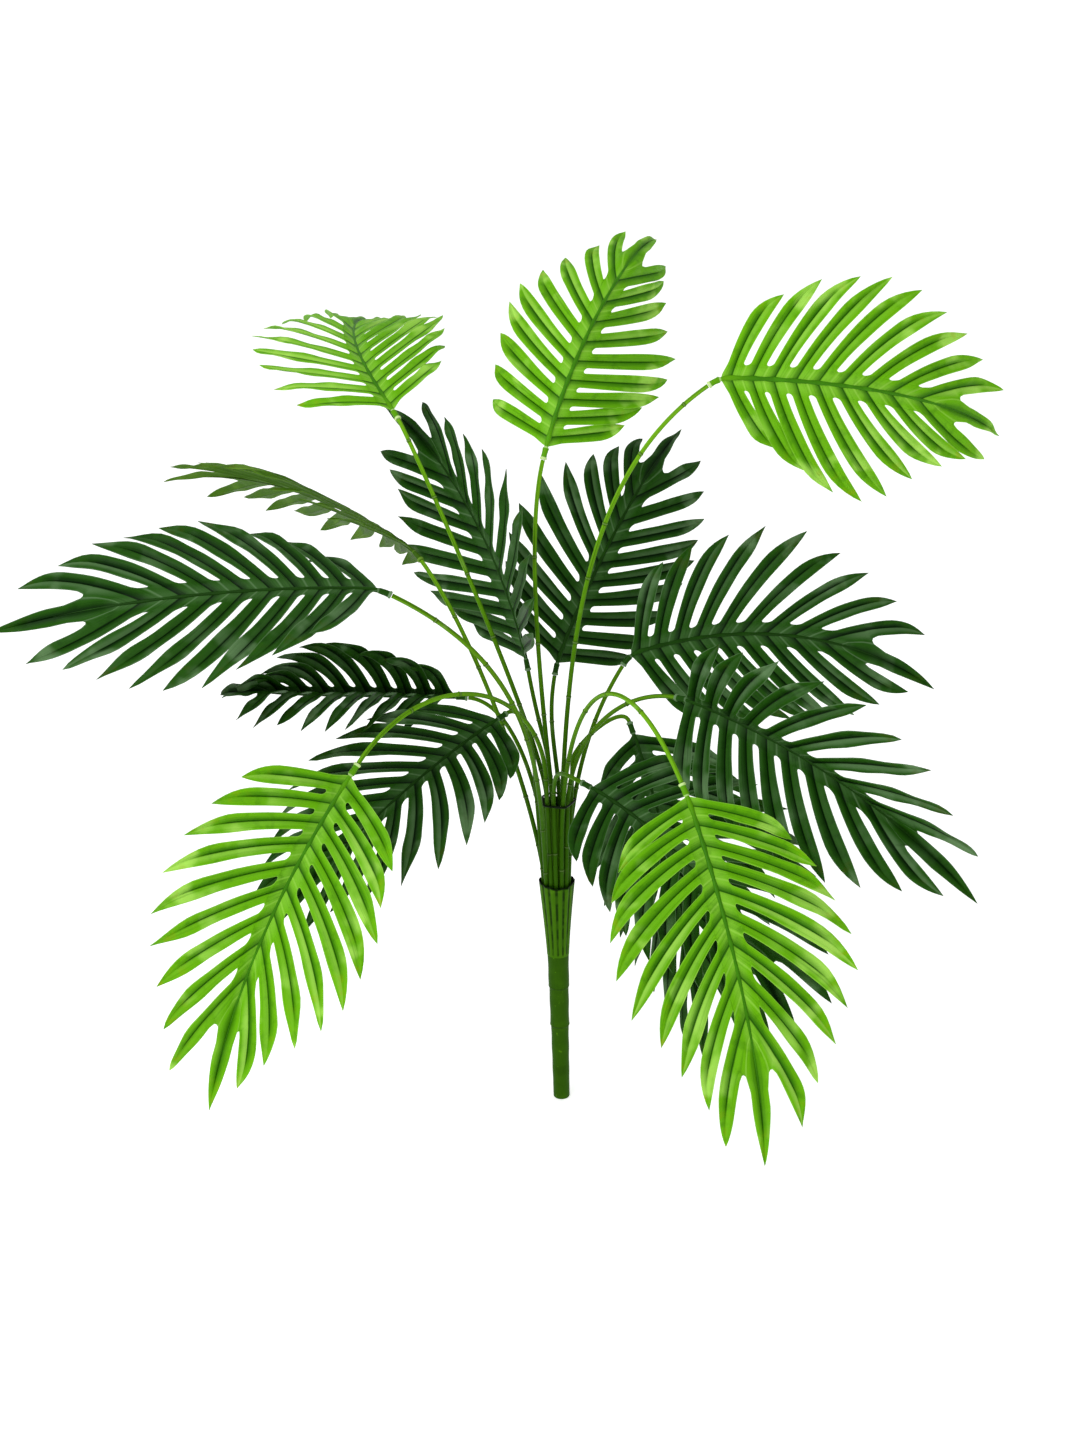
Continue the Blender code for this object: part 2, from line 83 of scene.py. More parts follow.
# Where each stalk stands (degrees round its sheath), its straight foot and how strongly it holds its
# direction at the two ends of its curve (mm)
Stalk = namedtuple("Stalk", "sheath angle straight rise lead")
STALKS = {
    "top_left": Stalk("upper", 158, 24, 190, 80),
    "top_middle": Stalk("upper", 270, 0, 90, 300),
    "top_right": Stalk("upper", 342, 0, 640, 400),
    "front_left": Stalk("lower", 246, 146, 310, 360),
    "front_right": Stalk("lower", 294, 64, 560, 450),
    "left_upper": Stalk("lower", 150, 0, 310, 260),
    "left_middle": Stalk("lower", 217, 0, 440, 450),
    "left_lower": Stalk("lower", 118, 0, 273, 162),
    "lower_left": Stalk("lower", 182, 150, 120, 60),
    "centre_left": Stalk("upper", 108, 0, 267, 273),
    "centre_right": Stalk("upper", 46, 0, 182, 170),
    "right_upper": Stalk("lower", 35, 0, 305, 240),
    "right_middle": Stalk("lower", 320, 110, 250, 195),
    "right_lower": Stalk("lower", 347, 160, 50, 67),
    "lower_right": Stalk("lower", 268, 110, 150, 100),
}
STALK_STEPS = 400
STRAIGHT_SHARE = 0.25
JOINT_GAP = 0.3 * MM

# Stalks that the dark band leaves outside
OUTSIDE_BAND = ("left_upper", "left_middle", "left_lower", "lower_left", "right_upper")

# For each tone: how strongly a painted highlight lightens the leaflets' cut edges, how rough the cloth is,
# and the share of the wire cover's colour that its stalks keep
TONES = {"bright": (0.25, 0.34, 1.0), "middle": (0.35, 0.36, 0.85), "dark": (0.45, 0.34, 0.68)}

# How the mould's leaflets change along the rib, and how uneven they are
LONGEST_PAIR = 4
BASE_ANGLE = math.radians(72)
LAST_ANGLE = math.radians(30)
ANGLE_FALL = 1.6
FORWARD_BEND = math.radians(20)
UNEVEN_ANGLE = math.radians(2)
UNEVEN_FOLD = math.radians(3)
UNEVEN_SAG = 4 * MM

# Where a leaflet is widest, how it narrows on its near and far side, where its point bends off, where
# its pressing ends, and the share of its sag that the tip has
WIDEST_SHARE = 0.64
NEAR_FALL = 1.45
FAR_FALL = 2.6
POINT_SHARE = 0.7
PRESSED_SHARE = 0.98
TIP_SAG = 0.4

# Steps along a rib's line, and how far the turn of its socket reaches into it
RIB_FRAMES = 60
SOCKET_BEND = 26 * MM

# The columns and rows of a leaflet's cloth, the length of the round ends of its slots, how much further
# the last pair's web reaches than the tip's, and the margin of the flat map
ACROSS = (-1.0, -0.82, -0.5, -0.16, 0.0, 0.16, 0.5, 0.82, 1.0)
WEB_ROWS = (0.0, 0.35, 0.7, 1.0)
SLOT_ROWS = (0.1, 0.32, 0.64, 1.0, 1.7)
LEAFLET_ROWS = 12
SLOT_ROUND = 3.2 * MM
TIP_SLOT_ROUND = 16 * MM
LAST_WEB_SHARE = 1.1
MAP_MARGIN = 4 * MM

# The moulded socket: place from the blade's start, in socket lengths, and half width and height, in radii
SOCKET_PROFILE = (
    (-0.985, 0.82, 0.82), (-0.97, 1.05, 1.05), (-0.90, 1.15, 1.15), (-0.84, 1.12, 1.12), (-0.80, 0.96, 0.96),
    (-0.7, 0.93, 0.93), (-0.5, 0.9, 0.9), (-0.3, 0.95, 0.86), (-0.12, 1.05, 0.8),
)

# Rows up a sheath's wall, heights of the stem's steps, its rounded foot, and the light's place from the aim
SHEATH_LEVELS = 22
STEM_STEPS = (0.088, 0.134)
FOOT_ROUND = 1.6 * MM
KEY_OFFSET = Vector((-1.3, -1.5, 1.9))


def length(title, default, text):
    """A size in metres that a user may change."""
    return FloatProperty(name=title, description=text, default=default, min=0.0, unit="LENGTH", precision=5)


def share(title, default, text):
    """A share or strength that a user may change."""
    return FloatProperty(name=title, description=text, default=default, min=0.0, subtype="FACTOR")


def colour(title, default, text):
    """A linear colour that a user may change."""
    return FloatVectorProperty(name=title, description=text, default=default, min=0.0, max=1.0,
                               subtype="COLOR")


class PalmFrond(PropertyGroup):
    """Sizes of the one mould that all the fronds come from."""
    pairs: IntProperty(name="Pairs", description="Pairs of leaflets on a frond", default=9, min=6, max=20)
    socket_length: length("Socket length", 0.013, "Length of the socket that takes the wire")
    socket_radius: length("Socket radius", 0.0031, "Radius of the socket's mouth")
    rib_length: length("Rib length", 0.222, "Length of the rib that carries the pairs")
    tip_length: length("Tip length", 0.118, "Length of the leaflet at the rib's end")
    rib_half_width: length("Rib half width", 0.0024, "Half width of the rib at its foot")
    rib_half_height: length("Rib half height", 0.0021, "Half height of the rib at its foot")
    base_leaflet: length("First leaflet", 0.096, "Length of the leaflets next to the socket")
    longest_leaflet: length("Longest leaflet", 0.140, "Length of the longest leaflets")
    last_leaflet: length("Last leaflet", 0.112, "Length of the last pair")
    widest_half: length("Leaflet half width", 0.0086, "Half width of the long leaflets")
    last_half: length("Last half width", 0.0080, "Half width of the last pair")
    tip_half: length("Tip half width", 0.008, "Half width of the leaflet at the rib's end")
    web_width: length("Web", 0.012, "Cloth left whole beside the rib")
    tip_web: length("Tip web", 0.040, "Cloth left whole past the rib's end")
    slot_width: length("Slot", 0.005, "Width of the slots between leaflets")
    thickness: length("Cloth thickness", 0.0006, "Thickness of the leaf cloth")
    crease_depth: length("Crease depth", 0.0026, "How deep each leaflet is pressed to a valley")
    wave_height: length("Wave", 0.0011, "Height of the waves along a leaflet's edge")
    hook: length("Hook", 0.0052, "How far a leaflet's point bends towards the tip")


class PalmStalk(PropertyGroup):
    """Sizes of the covered wires."""
    foot_radius: length("Foot radius", 0.0024, "Radius at the sheath")
    top_radius: length("Top radius", 0.0021, "Radius at the socket")
    ring_spacing: length("Ring spacing", 0.070, "Distance between the small joint rings")
    ring_height: length("Ring height", 0.00045, "How far a joint ring stands out")
    lower_seat: length("Lower seat", 0.0118, "Radius on which stalks stand in the lower sheath")
    upper_seat: length("Upper seat", 0.0072, "Radius on which stalks stand in the upper sheath")
    seat_spread: share("Spread", 0.05, "How far the stalks lean outwards as they leave")


class PalmStem(PropertyGroup):
    """Sizes of the stem, the two sheaths and the band."""
    lean: FloatProperty(name="Lean", description="Lean of the stem to the right", default=math.radians(-1.4),
                        subtype="ANGLE")
    foot_radius: length("Foot radius", 0.0086, "Radius of the stem's foot")
    top_radius: length("Top radius", 0.011, "Radius of the stem's top")
    height: length("Stem height", 0.172, "Height of the stem")
    lower_floor: length("Lower floor", 0.232, "Height of the lower cup's floor")
    lower_rim: length("Lower rim", 0.257, "Height of the lower cup's rim")
    lower_foot_radius: length("Lower foot radius", 0.0116, "Radius of the lower sheath's foot")
    lower_rim_radius: length("Lower rim radius", 0.0186, "Radius of the lower sheath's rim")
    upper_floor: length("Upper floor", 0.326, "Height of the upper cup's floor")
    upper_rim: length("Upper rim", 0.347, "Height of the upper cup's rim")
    upper_foot_radius: length("Upper foot radius", 0.0076, "Radius of the upper sheath's foot")
    upper_rim_radius: length("Upper rim radius", 0.0136, "Radius of the upper sheath's rim")
    wall: length("Wall", 0.0013, "Thickness of the cups' walls")
    band_height: length("Band height", 0.349, "Height of the dark band round the bundle")
    band_radius: length("Band radius", 0.0011, "Half thickness of the band")
    ribs: IntProperty(name="Ribs", description="Ribs round a sheath", default=14, min=4, max=40)
    rib_depth: length("Rib depth", 0.0009, "Depth of the grooves between the ribs")


class PalmColours(PropertyGroup):
    """Colours of the printed cloth and the plastic, and of the painted shade, sheen and glints laid over
    them.
    """
    # The deep colours paint the shade in the leaflets' creases and near halves as well as their fine lines
    # and mottling; the light colours paint their sheen and highlights as well as the paler web, the under
    # side and the sockets' pale rings on the darker fronds.
    bright: colour("Bright leaf", (0.125, 0.400, 0.003), "Young, bright fronds")
    bright_deep: colour("Bright leaf, deep", (0.018, 0.120, 0.001), "Creases of the bright fronds")
    bright_light: colour("Bright leaf, light", (0.450, 0.780, 0.130), "Pale print of the bright fronds")
    middle: colour("Middle leaf", (0.046, 0.130, 0.004), "Half dark fronds")
    middle_deep: colour("Middle leaf, deep", (0.009, 0.042, 0.001), "Creases of the half dark fronds")
    middle_light: colour("Middle leaf, light", (0.130, 0.260, 0.025), "Pale print of the half dark fronds")
    dark: colour("Dark leaf", (0.014, 0.072, 0.003), "Old, dark fronds")
    dark_deep: colour("Dark leaf, deep", (0.001, 0.011, 0.001), "Creases of the dark fronds")
    dark_light: colour("Dark leaf, light", (0.130, 0.230, 0.105), "Pale print of the dark fronds")
    rib: colour("Rib", (0.040, 0.180, 0.003), "Ribs of the bright fronds")
    stalk: colour("Stalk", (0.140, 0.360, 0.008), "Covered wire")
    stalk_deep: colour("Stalk, deep", (0.034, 0.118, 0.001), "Covered wire low down")
    # The ring colour paints the pale rings of the bright fronds' sockets, and the painted glint on the
    # stalks' joint rings.
    ring: colour("Ring", (0.560, 0.760, 0.300), "Rings at the joints")
    stem: colour("Stem", (0.027, 0.092, 0.001), "Stem")
    sheath: colour("Sheath", (0.052, 0.160, 0.002), "Ribs of the sheaths")
    # The deep sheath colour paints the shade in the sheaths' grooves, over their rims and inside their cups,
    # and is also the band's own dark colour.
    sheath_deep: colour("Sheath, deep", (0.004, 0.020, 0.0005), "Grooves and rims of the sheaths")


class PalmStage(PropertyGroup):
    """Floor, light and camera."""
    floor_size: length("Floor", 60.0, "Side of the square floor")
    floor_colour: colour("Floor colour", (0.93, 0.93, 0.93), "Pale floor")
    floor_glow: share("Floor glow", 0.55, "Light of its own that keeps the floor bright")
    sky: share("Sky", 0.62, "Strength of the even light from all round")
    key_power: FloatProperty(name="Key light", description="Power of the large soft light", default=42.0,
                             min=0.0, unit="POWER")
    key_size: length("Key size", 1.6, "Side of the large soft light")
    aim: FloatVectorProperty(name="Aim", description="Point at the middle of the picture",
                             default=(-0.020, 0.0, 0.430), subtype="TRANSLATION")
    elevation: FloatProperty(name="Elevation", description="How far the camera looks down",
                             default=math.radians(22), subtype="ANGLE")
    distance: length("Distance", 2.2, "From the camera to its aim")
    lens: FloatProperty(name="Lens", description="Focal length in millimetres", default=54.7, min=1.0)


class Wire:
    """A shader value that takes part in Python expressions."""

    def __init__(self, recipe, socket):
        self.recipe = recipe
        self.socket = socket

    def maths(self, operation, *values):
        return self.recipe.node("ShaderNodeMath", {"operation": operation}, dict(enumerate(values)))

    def __add__(self, other):
        return self.maths("ADD", self, other)

    __radd__ = __add__

    def __sub__(self, other):
        return self.maths("SUBTRACT", self, other)

    def __rsub__(self, other):
        return self.maths("SUBTRACT", other, self)

    def __mul__(self, other):
        return self.maths("MULTIPLY", self, other)

    __rmul__ = __mul__

    def __abs__(self):
        return self.maths("ABSOLUTE", self)

    def between(self, low, high):
        """0 below low and 1 above high, with a soft step; low may be the greater of the two."""
        return self.recipe.node("ShaderNodeMapRange", {"interpolation_type": "SMOOTHSTEP"},
                                {"Value": self, "From Min": low, "From Max": high})


class Recipe:
    """A material and its nodes."""

    def __init__(self, name):
        self.material = bpy.data.materials.new(name)
        self.material.use_nodes = True
        self.tree = self.material.node_tree
        self.shader = self.tree.nodes["Principled BSDF"]

    def node(self, kind, settings=None, inputs=None, output=0):
        """Add a node: its settings first, then the values or links of its sockets."""
        made = self.tree.nodes.new(kind)
        for key, value in (settings or {}).items():
            setattr(made, key, value)
        for key, value in (inputs or {}).items():
            self.join(made.inputs[key], value)
        return Wire(self, made.outputs[output])

    def join(self, socket, value):
        """Link a wire to a socket or set its plain value."""
        if isinstance(value, Wire):
            self.tree.links.new(value.socket, socket)
        elif socket.type == "RGBA":
            socket.default_value = (*value, 1.0)
        else:
            socket.default_value = value

    def paint(self, **sockets):
        """Set the shader's sockets, an underscore standing for a space."""
        for key, value in sockets.items():
            self.join(self.shader.inputs[key.replace("_", " ")], value)
        return self.material

    def attribute(self, name):
        """A number that the mesh carries."""
        return self.node("ShaderNodeAttribute", {"attribute_name": name}, output=2)

    def coats(self, tint, *coats):
        """A plain colour with coats of (colour, factor) laid over it in turn."""
        made = self.node("ShaderNodeRGB")
        made.socket.default_value = (*tint, 1.0)
        for over, factor in coats:
            made = self.node("ShaderNodeMix", {"data_type": "RGBA"}, {0: factor, 6: made, 7: over}, 2)
        return made

    def noise(self, scale, detail=2.0, vector=None):
        """Soft noise between 0 and 1, over the object in metres unless a vector is given."""
        vector = vector or self.node("ShaderNodeTexCoord", output=3)
        return self.node("ShaderNodeTexNoise", None, {"Scale": scale, "Vector": vector, "Detail": detail})

    def vector(self, x, y, z):
        """A vector from three numbers or wires."""
        return self.node("ShaderNodeCombineXYZ", None, {0: x, 1: y, 2: z})

    def finish(self, tint, rough, shine, height, distance, strength):
        """The material, with a bump whose height counts in parts of the distance."""
        normal = self.node("ShaderNodeBump", None,
                           {"Height": height, "Distance": distance, "Strength": strength})
        return self.paint(Base_Color=tint, Roughness=rough, Specular_IOR_Level=shine, Normal=normal)


def deeper(tint, part):
    """A colour times a share."""
    return tuple(part * value for value in tint)


def tone_colours(colours, tone):
    """The body, deep and light colour of a tone."""
    return [tuple(getattr(colours, tone + ending)) for ending in ("", "_deep", "_light")]


def leaf_finish(tone, colours):
    """Printed leaf cloth: a dark crease deepened by painted shade, painted shade on one half and painted
    sheen on the other, fine lengthwise lines and a mottled, paler point.
    """
    recipe = Recipe("leaf_" + tone)
    body, deep, light = tone_colours(colours, tone)
    edge, rough, _ = TONES[tone]
    along, across, chance, under = map(recipe.attribute, ("along", "across", "chance", "under"))
    cloud = recipe.noise(30)
    patch = recipe.noise(105)
    lines = recipe.noise(1.0, 3.0, recipe.vector(across * 8 + chance * 40, along * 1.5, chance * 17))
    top = 1 - under
    width = abs(across)
    # shade: where painted shade lies over the leaflet's near half
    shade = across.between(-0.8, -0.06) * across.between(0.04, -0.04) * along.between(0.88, 0.62)
    # glow: where a painted highlight lies on the leaflet's far half
    glow = across.between(0.03, 0.12) * across.between(0.85, 0.2) * along.between(0.05, 0.35)
    # crease: the crease's dark line, partly print and partly painted shade
    crease = width.between(0.13, 0.03) * along.between(0.82, 0.66)
    dry = (0.8 * body[1], 0.72 * body[1], 0.5 * body[2])
    back = tuple(0.84 * value + 0.16 * pale for value, pale in zip(body, light))
    tint = recipe.coats(
        body,
        # painted sheen in pale patches
        (light, cloud.between(0.5, 0.66) * along.between(0.2, 0.8) * 0.6),
        (light, along.between(0.14, 0.04) * 0.16),
        (deep, lines.between(0.5, 0.28) * 0.34),
        (deep, patch.between(0.5, 0.3) * cloud.between(0.6, 0.4) * 0.3),
        # painted shade over the near half, stronger on the upper side
        (deep, shade * (0.6 + 0.3 * chance) * (0.35 + 0.65 * top)),
        # painted highlight over the far half of some leaflets
        (light, glow * top * (0.04 + 0.46 * chance.between(0.3, 1.0))),
        (dry, patch.between(0.52, 0.7) * along.between(0.6, 0.98) * 0.34),
        # the crease's dark line: print deepened by painted shade, stronger on the upper side
        (deeper(deep, 0.7), crease * (0.35 + 0.55 * top)),
        # painted highlight along the leaflets' cut edges
        (light, width.between(0.86, 0.99) * edge),
        (deeper(back, 0.8), under * 0.4))
    return recipe.finish(tint, rough + 0.16 * cloud + 0.08 * under, 0.045, lines * 0.6 + patch * 0.4,
                         0.0005, 0.8)


def rib_finish(tone, colours):
    """Moulded plastic of the rib: a pale ring, a green socket and a deeper ridge."""
    recipe = Recipe("rib_" + tone)
    body, _, light = tone_colours(colours, tone)
    rib, ring = (colours.rib, colours.ring) if tone == "bright" else (deeper(body, 0.55), light)
    along = recipe.attribute("along")
    cloud = recipe.noise(60)
    tint = recipe.coats(
        deeper(body, 0.75),
        (rib, along.between(0.016, 0.05)),
        (deeper(rib, 1.7), cloud.between(0.5, 0.75) * 0.5),
        (ring, along.between(0.0030, 0.0024) * 0.9),
        (ring, abs(along - 0.0125).between(0.0011, 0.0005) * 0.55))
    return recipe.finish(tint, 0.34 + 0.12 * cloud, 0.06, cloud, 0.0004, 0.6)


def stalk_finish(tone, colours):
    """Plastic-covered wire: deeper low down, lengthwise streaks and faint joint rings, each with a painted
    glint.
    """
    recipe = Recipe("stalk_cover_" + tone)
    along, ring, around = map(recipe.attribute, ("along", "ring", "around"))
    cloud = recipe.noise(45)
    streak = recipe.noise(1.0, 3.0, recipe.vector(around * 6, along * 5, 0.0))
    dark = deeper(colours.stalk_deep, 0.5)
    tint = recipe.coats(
        colours.stalk_deep,
        (deeper(colours.stalk, TONES[tone][2]), along.between(0.05, 0.42)),
        (dark, streak.between(0.52, 0.3) * 0.7),
        (colours.ring, cloud.between(0.6, 0.85) * 0.12),
        (dark, ring.between(0.02, 0.4) * 0.6),
        # painted glint on the crest of each joint ring
        (colours.ring, ring.between(0.6, 0.9) * 0.14))
    return recipe.finish(tint, 0.34 + 0.14 * cloud, 0.03, streak, 0.0003, 0.7)


def sheath_finish(colours):
    """Moulded sheath: green ribs, with painted shade in the grooves, over the rim and inside the cup."""
    recipe = Recipe("sheath_mould")
    groove, rim = map(recipe.attribute, ("groove", "rim"))
    cloud = recipe.noise(70, 3.0)
    tint = recipe.coats(
        colours.sheath,
        # painted shade in the grooves between the ribs
        (colours.sheath_deep, groove.between(0.25, 0.9) * (0.45 + 0.55 * cloud.between(0.36, 0.6))),
        (colours.stalk, cloud.between(0.5, 0.8) * 0.25),
        # painted shade over the rim and inside the cup
        (deeper(colours.sheath_deep, 0.5), rim.between(0.3, 0.9)))
    return recipe.finish(tint, 0.38 + 0.14 * cloud, 0.03, cloud, 0.0005, 0.7)


def stem_finish(colours):
    """Moulded stem: mottled deep green, with a dark line at its steps and pale scuffs."""
    recipe = Recipe("stem_mould")
    cloud = recipe.noise(38, 3.0)
    grain = recipe.noise(260)
    tint = recipe.coats(
        colours.stem,
        (colours.sheath, cloud.between(0.5, 0.8) * 0.5),
        (deeper(colours.stem, 0.5), cloud.between(0.45, 0.25) * 0.5),
        (deeper(colours.stem, 0.35), recipe.attribute("rim").between(0.2, 0.9) * 0.55),
        (colours.stalk, grain.between(0.66, 0.8) * 0.5))
    return recipe.finish(tint, 0.32 + 0.2 * cloud, 0.03, cloud * 0.7 + grain * 0.3, 0.0006, 0.8)


def band_finish(colours):
    """Nearly black green plastic of the band."""
    recipe = Recipe("band_dark")
    cloud = recipe.noise(120, 3.0)
    tint = recipe.coats(deeper(colours.sheath_deep, 0.5), (colours.stem, cloud.between(0.55, 0.75) * 0.3))
    return recipe.finish(tint, 0.36 + 0.16 * cloud, 0.1, cloud, 0.0003, 0.6)


def floor_finish(stage):
    """Plain pale floor, kept bright by a little light of its own."""
    return Recipe("floor_pale").paint(Base_Color=stage.floor_colour, Roughness=0.9, Specular_IOR_Level=0.1,
                                      Emission_Color=(1.0, 1.0, 1.0), Emission_Strength=stage.floor_glow)


def blend(start, end, part):
    """The value this part of the way from start to end."""
    return start + (end - start) * part


def smooth(value, low, high):
    """0 below low, 1 above high and a soft step between."""
    part = min(max((value - low) / (high - low), 0.0), 1.0)
    return part * part * (3 - 2 * part)


def add_object(name, data):
    """A new object in the scene."""
    made = bpy.data.objects.new(name, data)
    bpy.context.scene.collection.objects.link(made)
    return made


def add_piece(name, points, faces, material, numbers, flat):
    """One object from points and faces, with numbers for each corner and its flat map."""
    mesh = bpy.data.meshes.new(name)
    mesh.from_pydata(points, [], faces)
    for key, values in numbers.items():
        mesh.attributes.new(key, "FLOAT", "CORNER").data.foreach_set("value", values)
    mesh.uv_layers.new(name=UV_NAME).data.foreach_set("uv", [part for pair in flat for part in pair])
    mesh.materials.append(material)
    mesh.shade_smooth()
    mesh.set_sharp_from_angle(angle=math.radians(40))
    return add_object(name, mesh)


def settle(piece, slot, *nodes):
    """The piece rides on the plant and stands for its nodes; slot is not used."""
    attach(piece, BODY)
    if nodes:
        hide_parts(*nodes)


class Rib:
    """The line of one frond's rib, from its socket to its tip."""

    def __init__(self, frond, shape):
        self.frond, self.shape = frond, shape
        self.whole = shape.socket_length + shape.rib_length + shape.tip_length
        step = self.whole / RIB_FRAMES
        point = Vector(frond.socket) * MM
        self.frames = []
        for index in range(RIB_FRAMES + 1):
            part = index / RIB_FRAMES
            bend = 0.5 + 0.5 * math.cos(math.pi * min(index * step / SOCKET_BEND, 1))
            heading = math.radians(frond.heading + frond.swing * part + frond.turn * bend)
            pitch = math.radians(frond.pitch - frond.droop * part + frond.lift * bend)
            roll = math.radians(frond.roll + frond.twist * part)
            reach = math.cos(pitch)
            forward = Vector((reach * math.cos(heading), reach * math.sin(heading), math.sin(pitch)))
            level = Vector((-math.sin(heading), math.cos(heading), 0))
            left = level * math.cos(roll) + forward.cross(level) * math.sin(roll)
            if self.frames:
                point = point + (self.frames[-1][1] + forward).normalized() * step
            self.frames.append((point.copy(), forward, left, forward.cross(left)))

    def at(self, distance):
        """Place, forward, left and up at a distance from the start of the blade."""
        place = (distance + self.shape.socket_length) / self.whole * RIB_FRAMES
        index = min(max(int(place), 0), RIB_FRAMES - 1)
        return [before.lerp(after, place - index) for before, after in zip(*self.frames[index:index + 2])]

    def tip_at(self, distance):
        """Place, left and up of the sagging leaflet at the rib's end, at a distance from its foot."""
        place, _, left, up = self.at(self.shape.rib_length + distance)
        place.z -= TIP_SAG * self.frond.sag * MM * (distance / self.shape.tip_length) ** 2
        return place, left, up


def leaflet_length(shape, pair):
    """Length of a leaflet, longest a little below the middle."""
    if pair <= LONGEST_PAIR:
        return blend(shape.base_leaflet, shape.longest_leaflet, math.sin(math.pi / 2 * pair / LONGEST_PAIR))
    part = (pair - LONGEST_PAIR) / (shape.pairs - 1 - LONGEST_PAIR)
    return blend(shape.longest_leaflet, shape.last_leaflet, part)


def leaflet_angle(shape, pair):
    """How far a leaflet leaves the rib's direction."""
    return blend(BASE_ANGLE, LAST_ANGLE, (pair / (shape.pairs - 1)) ** ANGLE_FALL)


def pair_edges(shape):
    """Distances along the rib between one pair's foot and the next; a slanting pair's foot is longer."""
    feet = [1 / math.sin(leaflet_angle(shape, pair)) for pair in range(shape.pairs)]
    edges = [0.0]
    for foot in feet:
        edges.append(edges[-1] + shape.rib_length * foot / sum(feet))
    return edges


def both(vector, along=0.0, across=0.0):
    """A point or way in the plant, joined with the same on the flat cloth: five numbers."""
    return Vector((*vector, along, across))


def rounding(part):
    """How much of a slot's round end is left: 1 where the slot begins and 0 from part 1 on."""
    return 1 - math.sqrt(1 - (1 - min(part, 1.0)) ** 2)


class Leaflet:
    """One leaflet's middle line and edges, in the plant and on the flat cloth at once."""

    def __init__(self, rib, number, pair, side, draw):
        frond, shape = rib.frond, rib.shape
        uneven = math.sin(12.9 * number + 7.3 * pair + 2.1 * side)
        start, end = pair_edges(shape)[pair:pair + 2]
        foot = 0.5 * (start + end)
        root, forward, left, up = rib.at(foot)
        fold = math.radians(frond.fold) + UNEVEN_FOLD * uneven
        self.root = both(root, foot)
        self.forward = both(forward, 1.0)
        self.sideways = both(left * side * math.cos(fold) + up * math.sin(fold), 0.0, side)
        self.upper = up * math.cos(fold) - left * side * math.sin(fold)
        self.pitch = end - start
        self.angle = leaflet_angle(shape, pair) + UNEVEN_ANGLE * uneven
        self.length = leaflet_length(shape, pair)
        self.sag = frond.sag * MM + UNEVEN_SAG * uneven
        self.twist = draw.uniform(-0.32, 0.32)
        self.curl = draw.uniform(-8.0, 3.0) * MM
        self.hook = shape.hook * draw.uniform(0.55, 1.35)
        self.phase = draw.uniform(0, 2 * math.pi)
        self.chance = draw.random()
        self.web = shape.web_width / math.sin(self.angle)
        past = max(0, pair - LONGEST_PAIR) / (shape.pairs - 1 - LONGEST_PAIR)
        self.widest = blend(shape.widest_half, shape.last_half, past) * draw.uniform(0.94, 1.04)
        self.root_half = 0.5 * (self.pitch * math.sin(self.angle) - shape.slot_width)

    def middle(self, distance):
        """The middle line's place with the directions along, across and up."""
        part = distance / self.length
        angle = self.angle - FORWARD_BEND * part
        ahead = self.length * (math.sin(self.angle) - math.sin(angle)) / FORWARD_BEND
        out = self.length * (math.cos(angle) - math.cos(self.angle)) / FORWARD_BEND
        along = self.forward * math.cos(angle) + self.sideways * math.sin(angle)
        across = self.forward * math.sin(angle) - self.sideways * math.cos(angle)
        turn = self.twist * part ** 1.5
        level = across.to_3d()
        over = both(level * math.cos(turn) + self.upper * math.sin(turn), *across[3:])
        up = both(self.upper * math.cos(turn) - level * math.sin(turn))
        bent = (max(0.0, part - POINT_SHARE) / (1 - POINT_SHARE)) ** 2
        place = self.root + self.forward * ahead + self.sideways * out
        place = place + across * self.hook * bent + up * self.curl * bent
        place[2] -= self.sag * part ** 2
        return place, along, over, up

    def half(self, distance, far):
        """Half width of the cut leaflet on its near or far side."""
        part = distance / self.length
        if part < WIDEST_SHARE:
            return blend(self.root_half, self.widest, smooth(part, 0.1, WIDEST_SHARE))
        fall = FAR_FALL if far else NEAR_FALL
        return self.widest * (1 - ((part - WIDEST_SHARE) / (1 - WIDEST_SHARE)) ** fall)

    def cut_edge(self, distance, way):
        """The edge as cut; way is 1 on the far side and -1 on the near side."""
        skew = (1 - smooth(distance, 0.8 * self.web, 0.5 * self.length)) / math.tan(self.angle)
        place, along, across, _ = self.middle(distance)
        return place + (across + along * skew) * way * self.half(distance, way > 0)

    def web_edge(self, distance, way):
        """The edge of this leaflet's share of the web beside the rib."""
        return self.middle(distance)[0] + self.forward * way * self.pitch / 2

    def edge(self, rows, row, way, shared, boundary, joined, opening):
        """The edge at a row: shared while the cloth is whole, then round the slot's end and as cut."""
        distance = rows[row]
        if boundary == 0:
            loose = smooth(distance, 0.0, 1.4 * self.web)
            return self.web_edge(distance, way).lerp(self.cut_edge(distance, way), loose)
        if row <= joined:
            return shared[(boundary, row)]
        pull = shared[(boundary, joined)] - self.cut_edge(rows[joined], way)
        return self.cut_edge(distance, way) + pull * rounding((distance - rows[joined]) / opening)

    def stations(self, last_web):
        """Distances of the rows: through the web, round the slot's end and on to the point."""
        rows = [self.web * part for part in WEB_ROWS]
        rows += [self.web + SLOT_ROUND * part for part in SLOT_ROWS]
        if last_web:
            rows += [blend(rows[-1], last_web, part) for part in (0.33, 0.67, 1.0)]
            rows += [last_web + 5 * MM * part for part in (0.3, 1.0)]
        start = rows[-1]
        for row in range(1, LEAFLET_ROWS + 1):
            rows.append(blend(start, self.length, (row / LEAFLET_ROWS) ** 0.85))
        return rows


